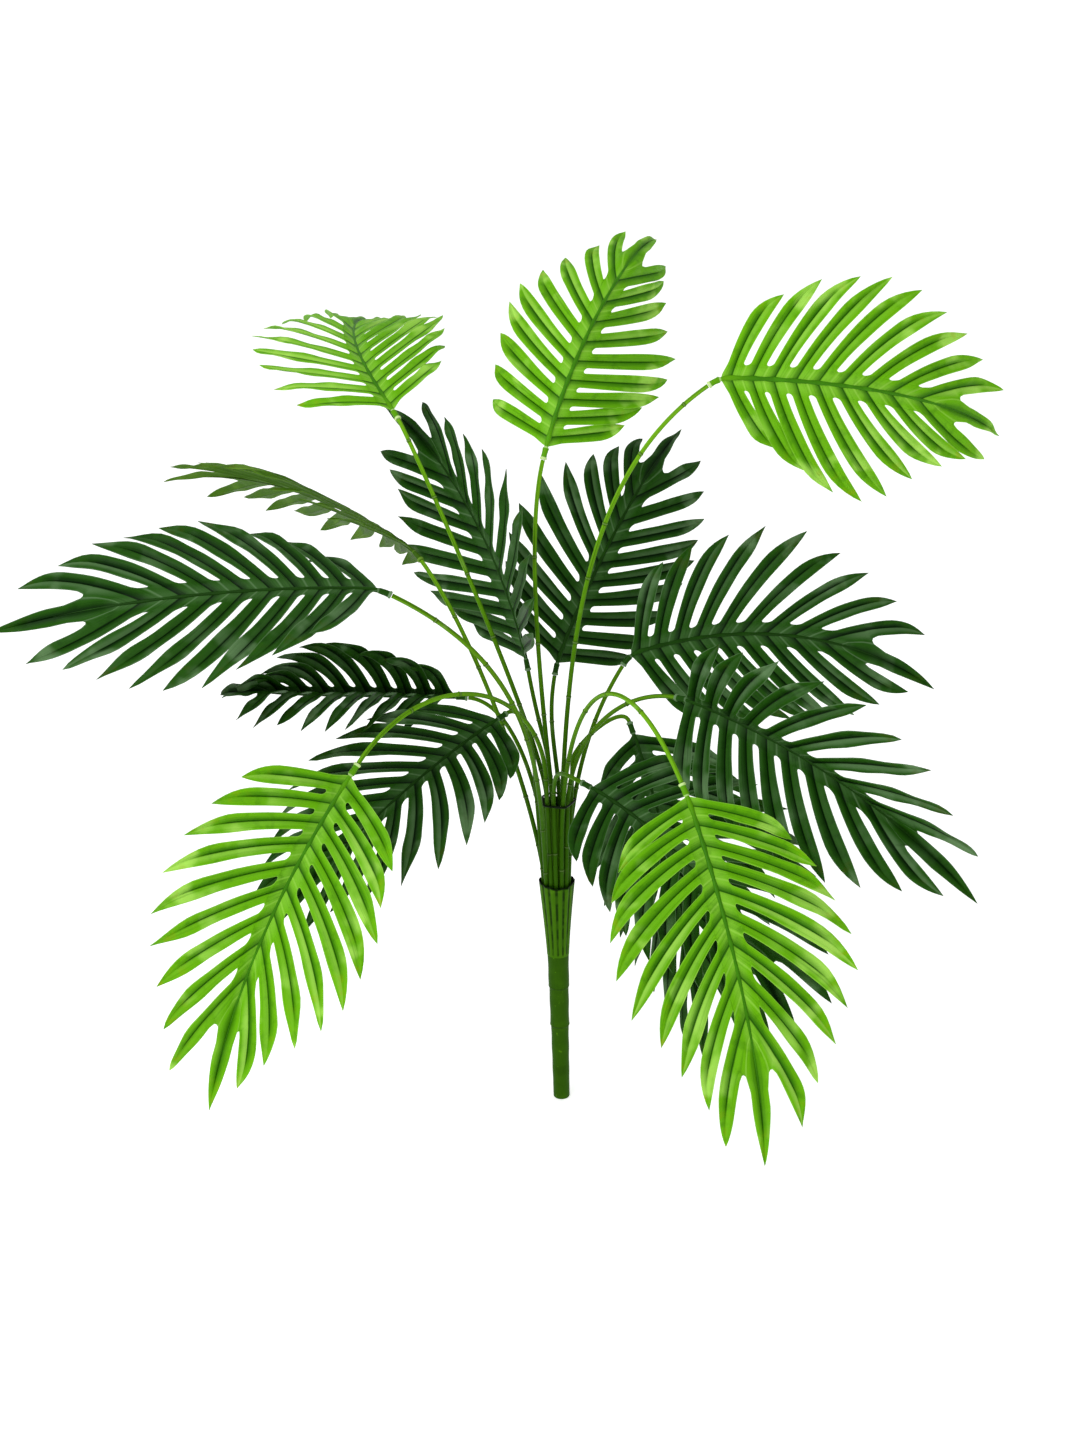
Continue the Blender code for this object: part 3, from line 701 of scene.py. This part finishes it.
class Cloth:
    """A thin closed sheet with shared points, leaflet numbers on each corner and a flat map."""

    def __init__(self):
        self.known = {}
        self.places, self.ups, self.faces = [], [], []

    def point(self, key, place, up):
        """A point, made once for each key."""
        if key not in self.known:
            self.known[key] = len(self.places)
            self.places.append(place)
            self.ups.append(up)
        return self.known[key]

    def sew(self, rows, chance, side):
        """Faces between rows of (point, numbers), turned over where side is -1."""
        for low, high in zip(rows, rows[1:]):
            for ring in zip(low, low[1:], high[1:], high):
                kept = [spot for index, spot in enumerate(ring) if spot[0] != ring[index - 1][0]]
                if len(kept) > 2:
                    self.faces.append((kept[::side], chance))

    def piece(self, name, thickness, material):
        """The sheet with its upper side, under side and cut edges."""
        count = len(self.places)
        points = [(place + up * half).to_3d() for half in (thickness / 2, -thickness / 2)
                  for place, up in zip(self.places, self.ups)]
        flats = [Vector(place[3:]) for place in self.places]
        low, high = (Vector([pick(flat[axis] for flat in flats) + margin for axis in (0, 1)])
                     for pick, margin in ((min, -MAP_MARGIN), (max, MAP_MARGIN)))
        scale = min(1 / (high.x - low.x), 0.5 / (high.y - low.y))
        faces, flat_map = [], []
        numbers = {"along": [], "across": [], "chance": [], "under": []}

        def add(corners, spots, values, chance, under):
            faces.append(corners)
            flat_map.extend((spot - low) * scale + Vector((0, 0.5 * under)) for spot in spots)
            for value in values:
                for kept, number in zip(numbers.values(), (*value, chance, under)):
                    kept.append(number)

        edges = {}
        for ring, chance in self.faces:
            for under, row in ((0.0, ring), (1.0, ring[::-1])):
                corners, values = zip(*row)
                add([corner + int(under) * count for corner in corners],
                    [flats[corner] for corner in corners], values, chance, under)
            for (start, first), (end, second) in zip(ring, ring[1:] + ring[:1]):
                edges[(start, end)] = (first, second, chance)
        for (start, end), (first, second, chance) in edges.items():
            if (end, start) in edges:
                continue
            run = flats[end] - flats[start]
            out = Vector((run.y, -run.x)).normalized() * thickness
            add((end, start, start + count, end + count),
                (flats[end], flats[start], flats[start] + out, flats[end] + out),
                (second, first, first, second), chance, 0.0)
        return add_piece(name, points, faces, material, numbers, flat_map)


def pressed(shape, across, depth_share, along, phase):
    """Height of the pressed cloth: a valley along the crease, two soft lobes and a waving edge."""
    width = abs(across)
    valley = shape.crease_depth * width ** 0.8 * depth_share
    lobes = 0.35 * shape.crease_depth * math.sin(math.pi * width) * depth_share
    wave = shape.wave_height * across * width * math.sin(15 * along + phase) * smooth(along, 0.2, 0.6)
    return valley + lobes + wave


class BladeSide:
    """The leaflets and half the tip on one side of a blade, sewn into the cloth of the whole."""

    def __init__(self, rib, side, leaflets, cloth):
        self.rib, self.shape, self.side = rib, rib.shape, side
        self.leaflets, self.cloth = leaflets, cloth
        self.last_web = self.shape.tip_web * LAST_WEB_SHARE
        self.last_rows = [row for row in leaflets[-1].stations(self.last_web) if row <= self.last_web + 1e-6]
        self.shared = {}
        self.share_edges()

    def rib_point(self, distance):
        """A point on the rib's line."""
        place, _, _, up = self.rib.at(distance)
        return self.cloth.point(("rib", round(distance / MM, 3)), both(place, distance), both(up))

    def tip_middle(self, distance):
        """The tip's middle line: its place with the ways left and up."""
        place, left, up = self.rib.tip_at(distance)
        return both(place, self.shape.rib_length + distance), both(left, 0.0, 1.0), both(up)

    def tip_edge(self, distance):
        """The tip's edge as cut."""
        part = distance / self.shape.tip_length
        half = 0.6 + 0.8 * part if part < 0.5 else 1 - ((part - 0.5) / 0.5) ** 1.6
        place, left, _ = self.tip_middle(distance)
        return place + left * self.side * self.shape.tip_half * half * smooth(distance, -0.02, 0.012)

    def share_edges(self):
        """Edges that neighbours share while the cloth is whole, keyed by boundary and row."""
        for pair, (near, far) in enumerate(zip(self.leaflets, self.leaflets[1:])):
            for row, part in enumerate(WEB_ROWS):
                edges = near.web_edge(near.web * part, 1) + far.web_edge(far.web * part, -1)
                self.shared[(pair + 1, row)] = edges / 2
        last = self.leaflets[-1]
        pull = last.web_edge(last.web, 1) - last.cut_edge(last.web, 1)
        for row, distance in enumerate(self.last_rows):
            low = last.web_edge(distance, 1)
            if distance > last.web:
                low = last.cut_edge(distance, 1) + pull * (1 - smooth(distance, last.web, self.last_web))
            tip = self.tip_edge(distance / self.last_web * self.shape.tip_web)
            self.shared[(self.shape.pairs, row)] = (low + tip) / 2

    def sew_leaflet(self, pair):
        """One leaflet, from the rib's line to its point."""
        leaflet, shape, side = self.leaflets[pair], self.shape, self.side
        is_last = pair == shape.pairs - 1
        rows = leaflet.stations(self.last_web if is_last else 0)
        start, end = pair_edges(shape)[pair:pair + 2]
        whole = {-1: len(WEB_ROWS) - 1, 1: len(self.last_rows if is_last else WEB_ROWS) - 1}
        opening = {-1: SLOT_ROUND, 1: TIP_SLOT_ROUND if is_last else SLOT_ROUND}
        boundary = {-1: pair, 1: pair + 1}
        sewn = []
        for row, distance in enumerate(rows):
            part = distance / leaflet.length
            place, _, _, up = leaflet.middle(distance)
            ends = {way: leaflet.edge(rows, row, way, self.shared, boundary[way], whole[way], opening[way])
                    for way in (-1, 1)}
            depth = smooth(distance, 0.0, leaflet.web) * (1 - smooth(part, POINT_SHARE, PRESSED_SHARE))
            spots = []
            for across in ACROSS:
                way = 1 if across > 0 else -1
                key = (side, pair, row, across)
                lift = pressed(shape, across, depth, part, leaflet.phase)
                if abs(across) == 1 and row <= whole[way]:
                    key = (side, "web", boundary[way], row)
                    lift = shape.crease_depth * depth
                if row == 0:
                    point = self.rib_point(blend(start, end, 0.5 + 0.5 * across))
                elif row == len(rows) - 1:
                    point = self.cloth.point((side, pair, "point"), place, up)
                else:
                    point = self.cloth.point(key, place.lerp(ends[way], abs(across)) + up * lift, up)
                spots.append((point, (part, across)))
            sewn.append(spots)
        self.cloth.sew(sewn, leaflet.chance, side)

    def sew_tip(self, chance):
        """This side's half of the leaflet at the rib's end."""
        shape = self.shape
        distances = [distance / self.last_web * shape.tip_web for distance in self.last_rows]
        joined = len(distances) - 1
        distances += [blend(shape.tip_web, shape.tip_length, (row / LEAFLET_ROWS) ** 0.9)
                      for row in range(1, LEAFLET_ROWS + 1)]
        pull = self.shared[(shape.pairs, joined)] - self.tip_edge(shape.tip_web)
        sewn = []
        for row, distance in enumerate(distances):
            part = distance / shape.tip_length
            place, _, up = self.tip_middle(distance)
            depth = smooth(distance, 0.0, 0.02) * (1 - smooth(part, POINT_SHARE, PRESSED_SHARE))
            if row <= joined:
                edge = self.shared[(shape.pairs, row)]
            else:
                opened = rounding((distance - shape.tip_web) / TIP_SLOT_ROUND)
                edge = self.tip_edge(distance) + pull * opened
            spots = []
            for across in ACROSS[len(ACROSS) // 2:]:
                key = ("tip", self.side if across else 0, row, across)
                if across == 1 and row <= joined:
                    key = (self.side, "web", shape.pairs, row)
                if row == 0:
                    point = self.rib_point(shape.rib_length)
                elif row == len(distances) - 1:
                    point = self.cloth.point("tip", place, up)
                else:
                    lift = pressed(shape, across, depth, part, chance * 6)
                    point = self.cloth.point(key, place.lerp(edge, across) + up * lift, up)
                spots.append((point, (part, -across)))
            sewn.append(spots)
        self.cloth.sew(sewn, chance, -self.side)


def build_blade(frond, number, shape, material):
    """A whole blade: both sides' leaflets and the tip, sewn as one cloth."""
    draw = random.Random(SEED + number)
    rib = Rib(frond, shape)
    leaflets = {side: [Leaflet(rib, number, pair, side, draw) for pair in range(shape.pairs)]
                for side in (1, -1)}
    tip_chance = draw.random()
    cloth = Cloth()
    for side in (1, -1):
        half = BladeSide(rib, side, leaflets[side], cloth)
        for pair in range(shape.pairs):
            half.sew_leaflet(pair)
        half.sew_tip(tip_chance)
    return cloth.piece("blade_" + frond.name, shape.thickness, material)


def closed_round(name, points, sides, material, numbers, map_at):
    """A closed piece through rows of points; its numbers and its flat map are functions of row and side."""
    last = len(points) // sides - 1
    faces, corners = [], []
    for row in range(last):
        for side in range(sides):
            ring = ((row, side), (row, side + 1), (row + 1, side + 1), (row + 1, side))
            corners += ring
            faces.append([at * sides + around % sides for at, around in ring])
    for row, order in ((0, range(sides - 1, -1, -1)), (last, range(sides))):
        corners += [(row, side) for side in order]
        faces.append([row * sides + side for side in order])
    values = {key: [number(*corner) for corner in corners] for key, number in numbers.items()}
    flat = [[0.02 + 0.96 * part for part in map_at(*corner)] for corner in corners]
    return add_piece(name, points, faces, material, values, flat)


def runs_along(line):
    """Lengths along a line, from its start to each of its points."""
    runs = [0.0]
    for before, after in zip(line, line[1:]):
        runs.append(runs[-1] + (after - before).length)
    return runs


def tube(name, rings, sides, material, glow=None):
    """A closed round piece through rings of (centre, side way, up way, half width, half height)."""
    runs = runs_along([ring[0] for ring in rings])
    points = []
    for centre, side_way, up_way, half_width, half_height in rings:
        for side in range(sides):
            angle = 2 * math.pi * side / sides
            out = side_way * math.cos(angle) * half_width
            points.append(centre + out + up_way * math.sin(angle) * half_height)
    numbers = {"along": lambda row, _: runs[row], "around": lambda _, side: side / sides}
    if glow:
        numbers["ring"] = lambda row, _: glow[row]
    return closed_round(name, points, sides, material, numbers,
                        lambda row, side: (runs[row] / runs[-1], side / sides))


def build_rib(frond, shape, material):
    """Moulded rib: ringed socket, flat foot, a swelling at each pair and a vein into the tip."""
    rib = Rib(frond, shape)
    edges = pair_edges(shape)
    radius = shape.socket_radius
    rings = []
    for part, wide, high in SOCKET_PROFILE:
        place, _, left, up = rib.at(part * shape.socket_length)
        rings.append((place, left, up, radius * wide, radius * high))
    steps = shape.pairs * 6
    for step in range(steps + 1):
        distance = shape.rib_length * step / steps
        place, _, left, up = rib.at(distance)
        thin = blend(1.0, 0.58, step / steps)
        pair = min(sum(edge <= distance for edge in edges), shape.pairs) - 1
        part = (distance - edges[pair]) / (edges[pair + 1] - edges[pair])
        swell = 1 + 0.12 * math.cos(2 * math.pi * (part - 0.5))
        rings.append((place, left, up, shape.rib_half_width * thin * swell, shape.rib_half_height * thin))
    for step in range(1, 13):
        part = step / 12
        rings.append((*rib.tip_at(0.5 * shape.tip_length * part),
                      blend(shape.rib_half_width * 0.6, 0.35 * MM, part),
                      blend(shape.rib_half_height * 0.58, 0.4 * MM, part)))
    return tube("rib_" + frond.name, rings, 12, material)


def axis_point(stem, height):
    """The stem's leaning axis at a height."""
    return Vector((height * math.tan(stem.lean), 0, height))


def stalk_line(frond, settings):
    """Points on a stalk: straight up from its seat, then a smooth curve to its frond's socket."""
    stalk, shape, stem = STALKS[frond.name], settings.stalk, settings.stem
    lower = stalk.sheath == "lower"
    height = (stem.lower_floor if lower else stem.upper_floor) + JOINT_GAP
    angle = math.radians(stalk.angle)
    outward = Vector((math.cos(angle), math.sin(angle), 0))
    rising = (Vector((math.tan(stem.lean), 0, 1)) + outward * shape.seat_spread).normalized()
    foot = axis_point(stem, height) + outward * (shape.lower_seat if lower else shape.upper_seat)
    leave = foot + rising * stalk.straight * MM
    straight = STRAIGHT_SHARE if stalk.straight else 0.0
    place, forward = Rib(frond, settings.frond).frames[0][:2]
    end = place - forward * JOINT_GAP
    line = []
    for index in range(STALK_STEPS + 1):
        part = index / STALK_STEPS
        if part < straight:
            line.append(foot.lerp(leave, part / straight))
            continue
        part = (part - straight) / (1 - straight)
        squared, cubed = part ** 2, part ** 3
        line.append(leave * (2 * cubed - 3 * squared + 1)
                    + rising * stalk.rise * MM * (cubed - 2 * squared + part)
                    + end * (3 * squared - 2 * cubed) + forward * stalk.lead * MM * (cubed - squared))
    return line


def build_stalk(frond, number, settings, material):
    """Covered wire with small joint rings, evenly stepped along its curve."""
    shape = settings.stalk
    draw = random.Random(SEED * 3 + number)
    line = stalk_line(frond, settings)
    runs = runs_along(line)
    whole = runs[-1]
    spots = {whole * index / 90 for index in range(91)}
    marks = []
    mark = shape.ring_spacing * draw.uniform(0.5, 1.0)
    while mark < whole - 0.02:
        marks.append(mark)
        spots.update(mark + offset * MM for offset in (-2.4, -1.1, -0.5, 0.0, 0.5, 1.1, 2.4))
        mark += shape.ring_spacing * draw.uniform(0.8, 1.25)
    rings, glow = [], []
    side_way = Vector((0, 1, 0))
    index = 0
    for spot in sorted(spots):
        while index < STALK_STEPS - 1 and runs[index + 1] < spot:
            index += 1
        part = (spot - runs[index]) / (runs[index + 1] - runs[index])
        along = (line[min(index + 3, STALK_STEPS)] - line[max(index - 2, 0)]).normalized()
        side_way = (side_way - along * side_way.dot(along)).normalized()
        nearest = min((abs(spot - mark) for mark in marks), default=1.0)
        # shine marks where the painted glint lies on each joint ring; it goes on as the stalk's ring value
        ring, swell, shine = (max(0.0, 1 - nearest / (reach * MM)) for reach in (1.1, 2.6, 2.4))
        radius = blend(shape.foot_radius, shape.top_radius, spot / whole)
        radius += shape.ring_height * (ring + 0.35 * swell)
        centre = line[index].lerp(line[index + 1], part)
        rings.append((centre, side_way, along.cross(side_way), radius, radius))
        glow.append(shine)
    return tube("cane_" + frond.name, rings, 12, material, glow)


def turned(name, rows, sides, material):
    """A closed turned piece through rows of (centre, reach and lift of an angle, groove of an angle, rim)."""
    points = []
    for centre, reach, _, _ in rows:
        for side in range(sides):
            angle = 2 * math.pi * side / sides
            out, lift = reach(angle)
            points.append(centre + Vector((out * math.cos(angle), out * math.sin(angle), lift)))
    numbers = {"groove": lambda row, side: rows[row][2](2 * math.pi * side / sides),
               "rim": lambda row, _: rows[row][3]}
    return closed_round(name, points, sides, material, numbers,
                        lambda row, side: (side / sides, row / (len(rows) - 1)))


def build_sheath(level, foot, phase, stem, material):
    """A ribbed cup with an uneven, torn rim."""
    floor, rim, foot_radius, rim_radius = (getattr(stem, level + ending) for ending in
                                           ("_floor", "_rim", "_foot_radius", "_rim_radius"))

    def groove(angle):
        return (0.5 - 0.5 * math.cos(stem.ribs * angle)) ** 1.5

    def plain(_):
        return 0.0

    def wall(height, depth=0.0, inset=0.0):
        part = (height - foot) / (rim - foot)
        radius = blend(foot_radius, rim_radius, part ** 1.2) - stem.wall * inset

        def reach(angle):
            ragged = 0.45 * MM * math.sin(3 * angle + phase) + 0.25 * MM * math.sin(7 * angle + 2 * phase)
            lift = 1.2 * MM * (math.sin(2 * angle + phase) - 1) + 0.5 * MM * math.sin(9 * angle)
            out = radius - stem.rib_depth * depth * groove(angle) + ragged * part ** 2
            return out, min(lift, 0) * part ** 6
        return reach

    rows = [(axis_point(stem, foot), wall(foot), plain, 0.0)]
    for row in range(1, SHEATH_LEVELS + 1):
        part = row / SHEATH_LEVELS
        height = blend(foot, rim, part)
        rows.append((axis_point(stem, height), wall(height, smooth(part, 0.0, 0.2)), groove,
                     smooth(part, 0.955, 1.0)))
    # The rim value, rising near the top and full over the lip and down the inside, marks where the painted
    # shade lies
    for lift, reach in ((0.3, wall(rim, 1.0)), (0.3, wall(rim, inset=0.6)), (-0.4, wall(rim, inset=1.0))):
        rows.append((axis_point(stem, rim + lift * MM), reach, plain, 1.0))
    for row in range(1, 5):
        height = blend(rim, floor, row / 4)
        rows.append((axis_point(stem, height), wall(height, inset=1.0), plain, 0.9))
    return turned("sheath_cup_" + level, rows, stem.ribs * 12, material)


def build_stem(stem, material):
    """The plug-in stem: a round-edged foot, two small steps and slight waves of the mould."""
    def ring(radius):
        return lambda angle: (radius * (1 + 0.012 * math.sin(2 * angle + 60 * radius)), 0.0)

    def seam(angle):
        return max(0.0, 1 - abs(math.sin(angle)) * 14)

    rows = []
    for part in (0.0, 0.2, 0.45, 0.7, 0.9):
        angle = part * math.pi / 2
        rows.append((axis_point(stem, FOOT_ROUND * (1 - math.cos(angle))),
                     ring(stem.foot_radius - FOOT_ROUND * (1 - math.sin(angle))), seam, 0.0))
    top = stem.height - JOINT_GAP
    heights = {top, *(FOOT_ROUND + 4.8 * MM * index for index in range(36))}
    for step in STEM_STEPS:
        heights.update(step + offset * MM for offset in (-2.0, -0.9, -0.3, 0.3, 0.9, 2.0))
    for height in sorted(height for height in heights if height <= top):
        past = [height - step for step in STEM_STEPS]
        out = sum(0.5 * MM * smooth(run, -0.6 * MM, 0.4 * MM) for run in past)
        lip = sum(0.35 * MM * max(0.0, 1 - abs(run - 0.6 * MM) / (1.6 * MM)) for run in past)
        wave = 0.16 * MM * math.sin(230 * height) * smooth(height, 0.01, 0.03)
        radius = blend(stem.foot_radius, stem.top_radius - 1.0 * MM, height / stem.height) + out + lip + wave
        near_step = max(max(0.0, 1 - abs(run) / (2.0 * MM)) for run in past)
        rows.append((axis_point(stem, height), ring(radius), seam, near_step))
    return turned("stem_mould", rows, 72, material)


def hull_of(points):
    """The points of a flat cloud that lie on its outline, in order."""
    points = sorted(points)
    hull = []
    for row in (points, points[::-1]):
        edge = []
        for x, y in row:
            while len(edge) > 1 and ((edge[-1][0] - edge[-2][0]) * (y - edge[-2][1])
                                     <= (edge[-1][1] - edge[-2][1]) * (x - edge[-2][0])):
                edge.pop()
            edge.append((x, y))
        hull += edge[:-1]
    return hull


def build_band(settings, material):
    """A thin dark band that goes round the bundle just over the upper sheath, clear of every stalk."""
    stem = settings.stem
    reach = settings.stalk.foot_radius + stem.band_radius + 2 * JOINT_GAP
    around = []
    for frond in FRONDS:
        if frond.name in OUTSIDE_BAND:
            continue
        spot = next(point for point in stalk_line(frond, settings) if point.z >= stem.band_height)
        for step in range(24):
            angle = 2 * math.pi * step / 24
            around.append((spot.x + reach * math.cos(angle), spot.y + reach * math.sin(angle)))
    hull = hull_of(around)
    rings = []
    for index in range(len(hull)):
        before, here, after = (Vector(hull[(index + step) % len(hull)]) for step in (-1, 0, 1))
        way = (after - before).normalized()
        rings.append((Vector((*here, stem.band_height)), Vector((way.y, -way.x, 0)), Vector((0, 0, 1)),
                      stem.band_radius, stem.band_radius))
    return tube("bundle_band", rings + rings[:1], 10, material)


class PalmSettings(PropertyGroup):
    """All the palm's settings."""
    frond: PointerProperty(type=PalmFrond)
    stalk: PointerProperty(type=PalmStalk)
    stem: PointerProperty(type=PalmStem)
    colours: PointerProperty(type=PalmColours)
    stage: PointerProperty(type=PalmStage)


class PALM_OT_blades(Operator):
    """Cut, press and bend the leaf cloth of every frond"""
    bl_idname = "palm.blades"
    bl_label = "Leaf blades"

    def execute(self, context):
        settings = context.scene.palm
        finishes = {tone: leaf_finish(tone, settings.colours) for tone in TONES}
        for number, frond in enumerate(FRONDS):
            blade = build_blade(frond, number, settings.frond, finishes[frond.tone])
            settle(blade, "frond_" + frond.tone, "frond_" + frond.name)
        return {"FINISHED"}


class PALM_OT_ribs(Operator):
    """Mould the rib and socket of every frond"""
    bl_idname = "palm.ribs"
    bl_label = "Ribs and sockets"

    def execute(self, context):
        settings = context.scene.palm
        finishes = {tone: rib_finish(tone, settings.colours) for tone in TONES}
        for frond in FRONDS:
            rib = build_rib(frond, settings.frond, finishes[frond.tone])
            settle(rib, "frond_" + frond.tone, "frond_" + frond.name)
        return {"FINISHED"}


class PALM_OT_stalks(Operator):
    """Bend the covered wires from the sheaths to the sockets"""
    bl_idname = "palm.stalks"
    bl_label = "Stalks"

    def execute(self, context):
        settings = context.scene.palm
        finishes = {tone: stalk_finish(tone, settings.colours) for tone in TONES}
        for number, frond in enumerate(FRONDS):
            cane = build_stalk(frond, number, settings, finishes[frond.tone])
            node = "stalk_" + frond.name
            settle(cane, "stalk", *([node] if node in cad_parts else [node + "_rise", node + "_fall"]))
        return {"FINISHED"}


class PALM_OT_sheaths(Operator):
    """Mould the two ribbed sheaths"""
    bl_idname = "palm.sheaths"
    bl_label = "Sheaths"

    def execute(self, context):
        settings = context.scene.palm
        stem = settings.stem
        finish = sheath_finish(settings.colours)
        settle(build_sheath("lower", stem.height, 0.7, stem, finish), "sheath", "sheath_lower")
        upper = build_sheath("upper", stem.lower_floor + JOINT_GAP, 2.4, stem, finish)
        settle(upper, "sheath", "sheath_upper")
        return {"FINISHED"}


class PALM_OT_band(Operator):
    """Lay the dark band round the bundle of stalks"""
    bl_idname = "palm.band"
    bl_label = "Bundle band"

    def execute(self, context):
        settings = context.scene.palm
        settle(build_band(settings, band_finish(settings.colours)), "sheath")
        return {"FINISHED"}


class PALM_OT_stem(Operator):
    """Turn the plug-in stem"""
    bl_idname = "palm.stem"
    bl_label = "Stem"

    def execute(self, context):
        settings = context.scene.palm
        settle(build_stem(settings.stem, stem_finish(settings.colours)), "stem", "stem")
        return {"FINISHED"}


class PALM_OT_stage(Operator):
    """Lay the pale floor and set the light and the camera"""
    bl_idname = "palm.stage"
    bl_label = "Stage"

    def execute(self, context):
        stage = context.scene.palm.stage
        half = stage.floor_size / 2
        mesh = bpy.data.meshes.new("floor")
        mesh.from_pydata([(-half, -half, 0), (half, -half, 0), (half, half, 0), (-half, half, 0)], [],
                         [(0, 1, 2, 3)])
        mesh.materials.append(floor_finish(stage))
        add_object("floor", mesh)

        world = bpy.data.worlds.new("studio")
        world.use_nodes = True
        sky = world.node_tree.nodes["Background"]
        sky.inputs["Color"].default_value = (1.0, 1.0, 1.0, 1.0)
        sky.inputs["Strength"].default_value = stage.sky
        context.scene.world = world

        aim = Vector(stage.aim)
        light = bpy.data.lights.new("key", "AREA")
        light.shape = "SQUARE"
        light.size = stage.key_size
        light.energy = stage.key_power
        key = add_object("key", light)
        key.location = aim + KEY_OFFSET
        key.rotation_euler = (-KEY_OFFSET).to_track_quat("-Z", "Y").to_euler()

        lens = bpy.data.cameras.new("camera")
        lens.sensor_width = 36.0
        lens.lens = stage.lens
        camera = add_object("camera", lens)
        back = Vector((0, -math.cos(stage.elevation), math.sin(stage.elevation)))
        camera.location = aim + back * stage.distance
        camera.rotation_euler = (math.pi / 2 - stage.elevation, 0, 0)
        context.scene.camera = camera
        context.scene.view_settings.view_transform = "Standard"
        return {"FINISHED"}


class PALM_PT_panel(Panel):
    """The palm's pieces, in the order they are made"""
    bl_label = "Areca palm"
    bl_idname = "PALM_PT_panel"
    bl_space_type = "VIEW_3D"
    bl_region_type = "UI"
    bl_category = "Palm"

    def draw(self, context):
        for piece in PIECES:
            self.layout.operator(piece.bl_idname)
        settings = context.scene.palm
        for group in (settings.frond, settings.stalk, settings.stem, settings.colours, settings.stage):
            box = self.layout.box()
            for key in group.bl_rna.properties.keys():
                if key not in ("rna_type", "name"):
                    box.prop(group, key)


PIECES = (PALM_OT_stage, PALM_OT_stem, PALM_OT_sheaths, PALM_OT_stalks, PALM_OT_band, PALM_OT_ribs,
          PALM_OT_blades)
CLASSES = (PalmFrond, PalmStalk, PalmStem, PalmColours, PalmStage, PalmSettings, *PIECES, PALM_PT_panel)


def register():
    for kind in CLASSES:
        bpy.utils.register_class(kind)
    bpy.types.Scene.palm = PointerProperty(type=PalmSettings)


def unregister():
    del bpy.types.Scene.palm
    for kind in reversed(CLASSES):
        bpy.utils.unregister_class(kind)


def main():
    register()
    bpy.ops.palm.stage()
    bpy.ops.palm.stem()
    bpy.ops.palm.sheaths()
    bpy.ops.palm.stalks()
    bpy.ops.palm.band()
    bpy.ops.palm.ribs()
    bpy.ops.palm.blades()


if __name__ == "__main__":
    main()
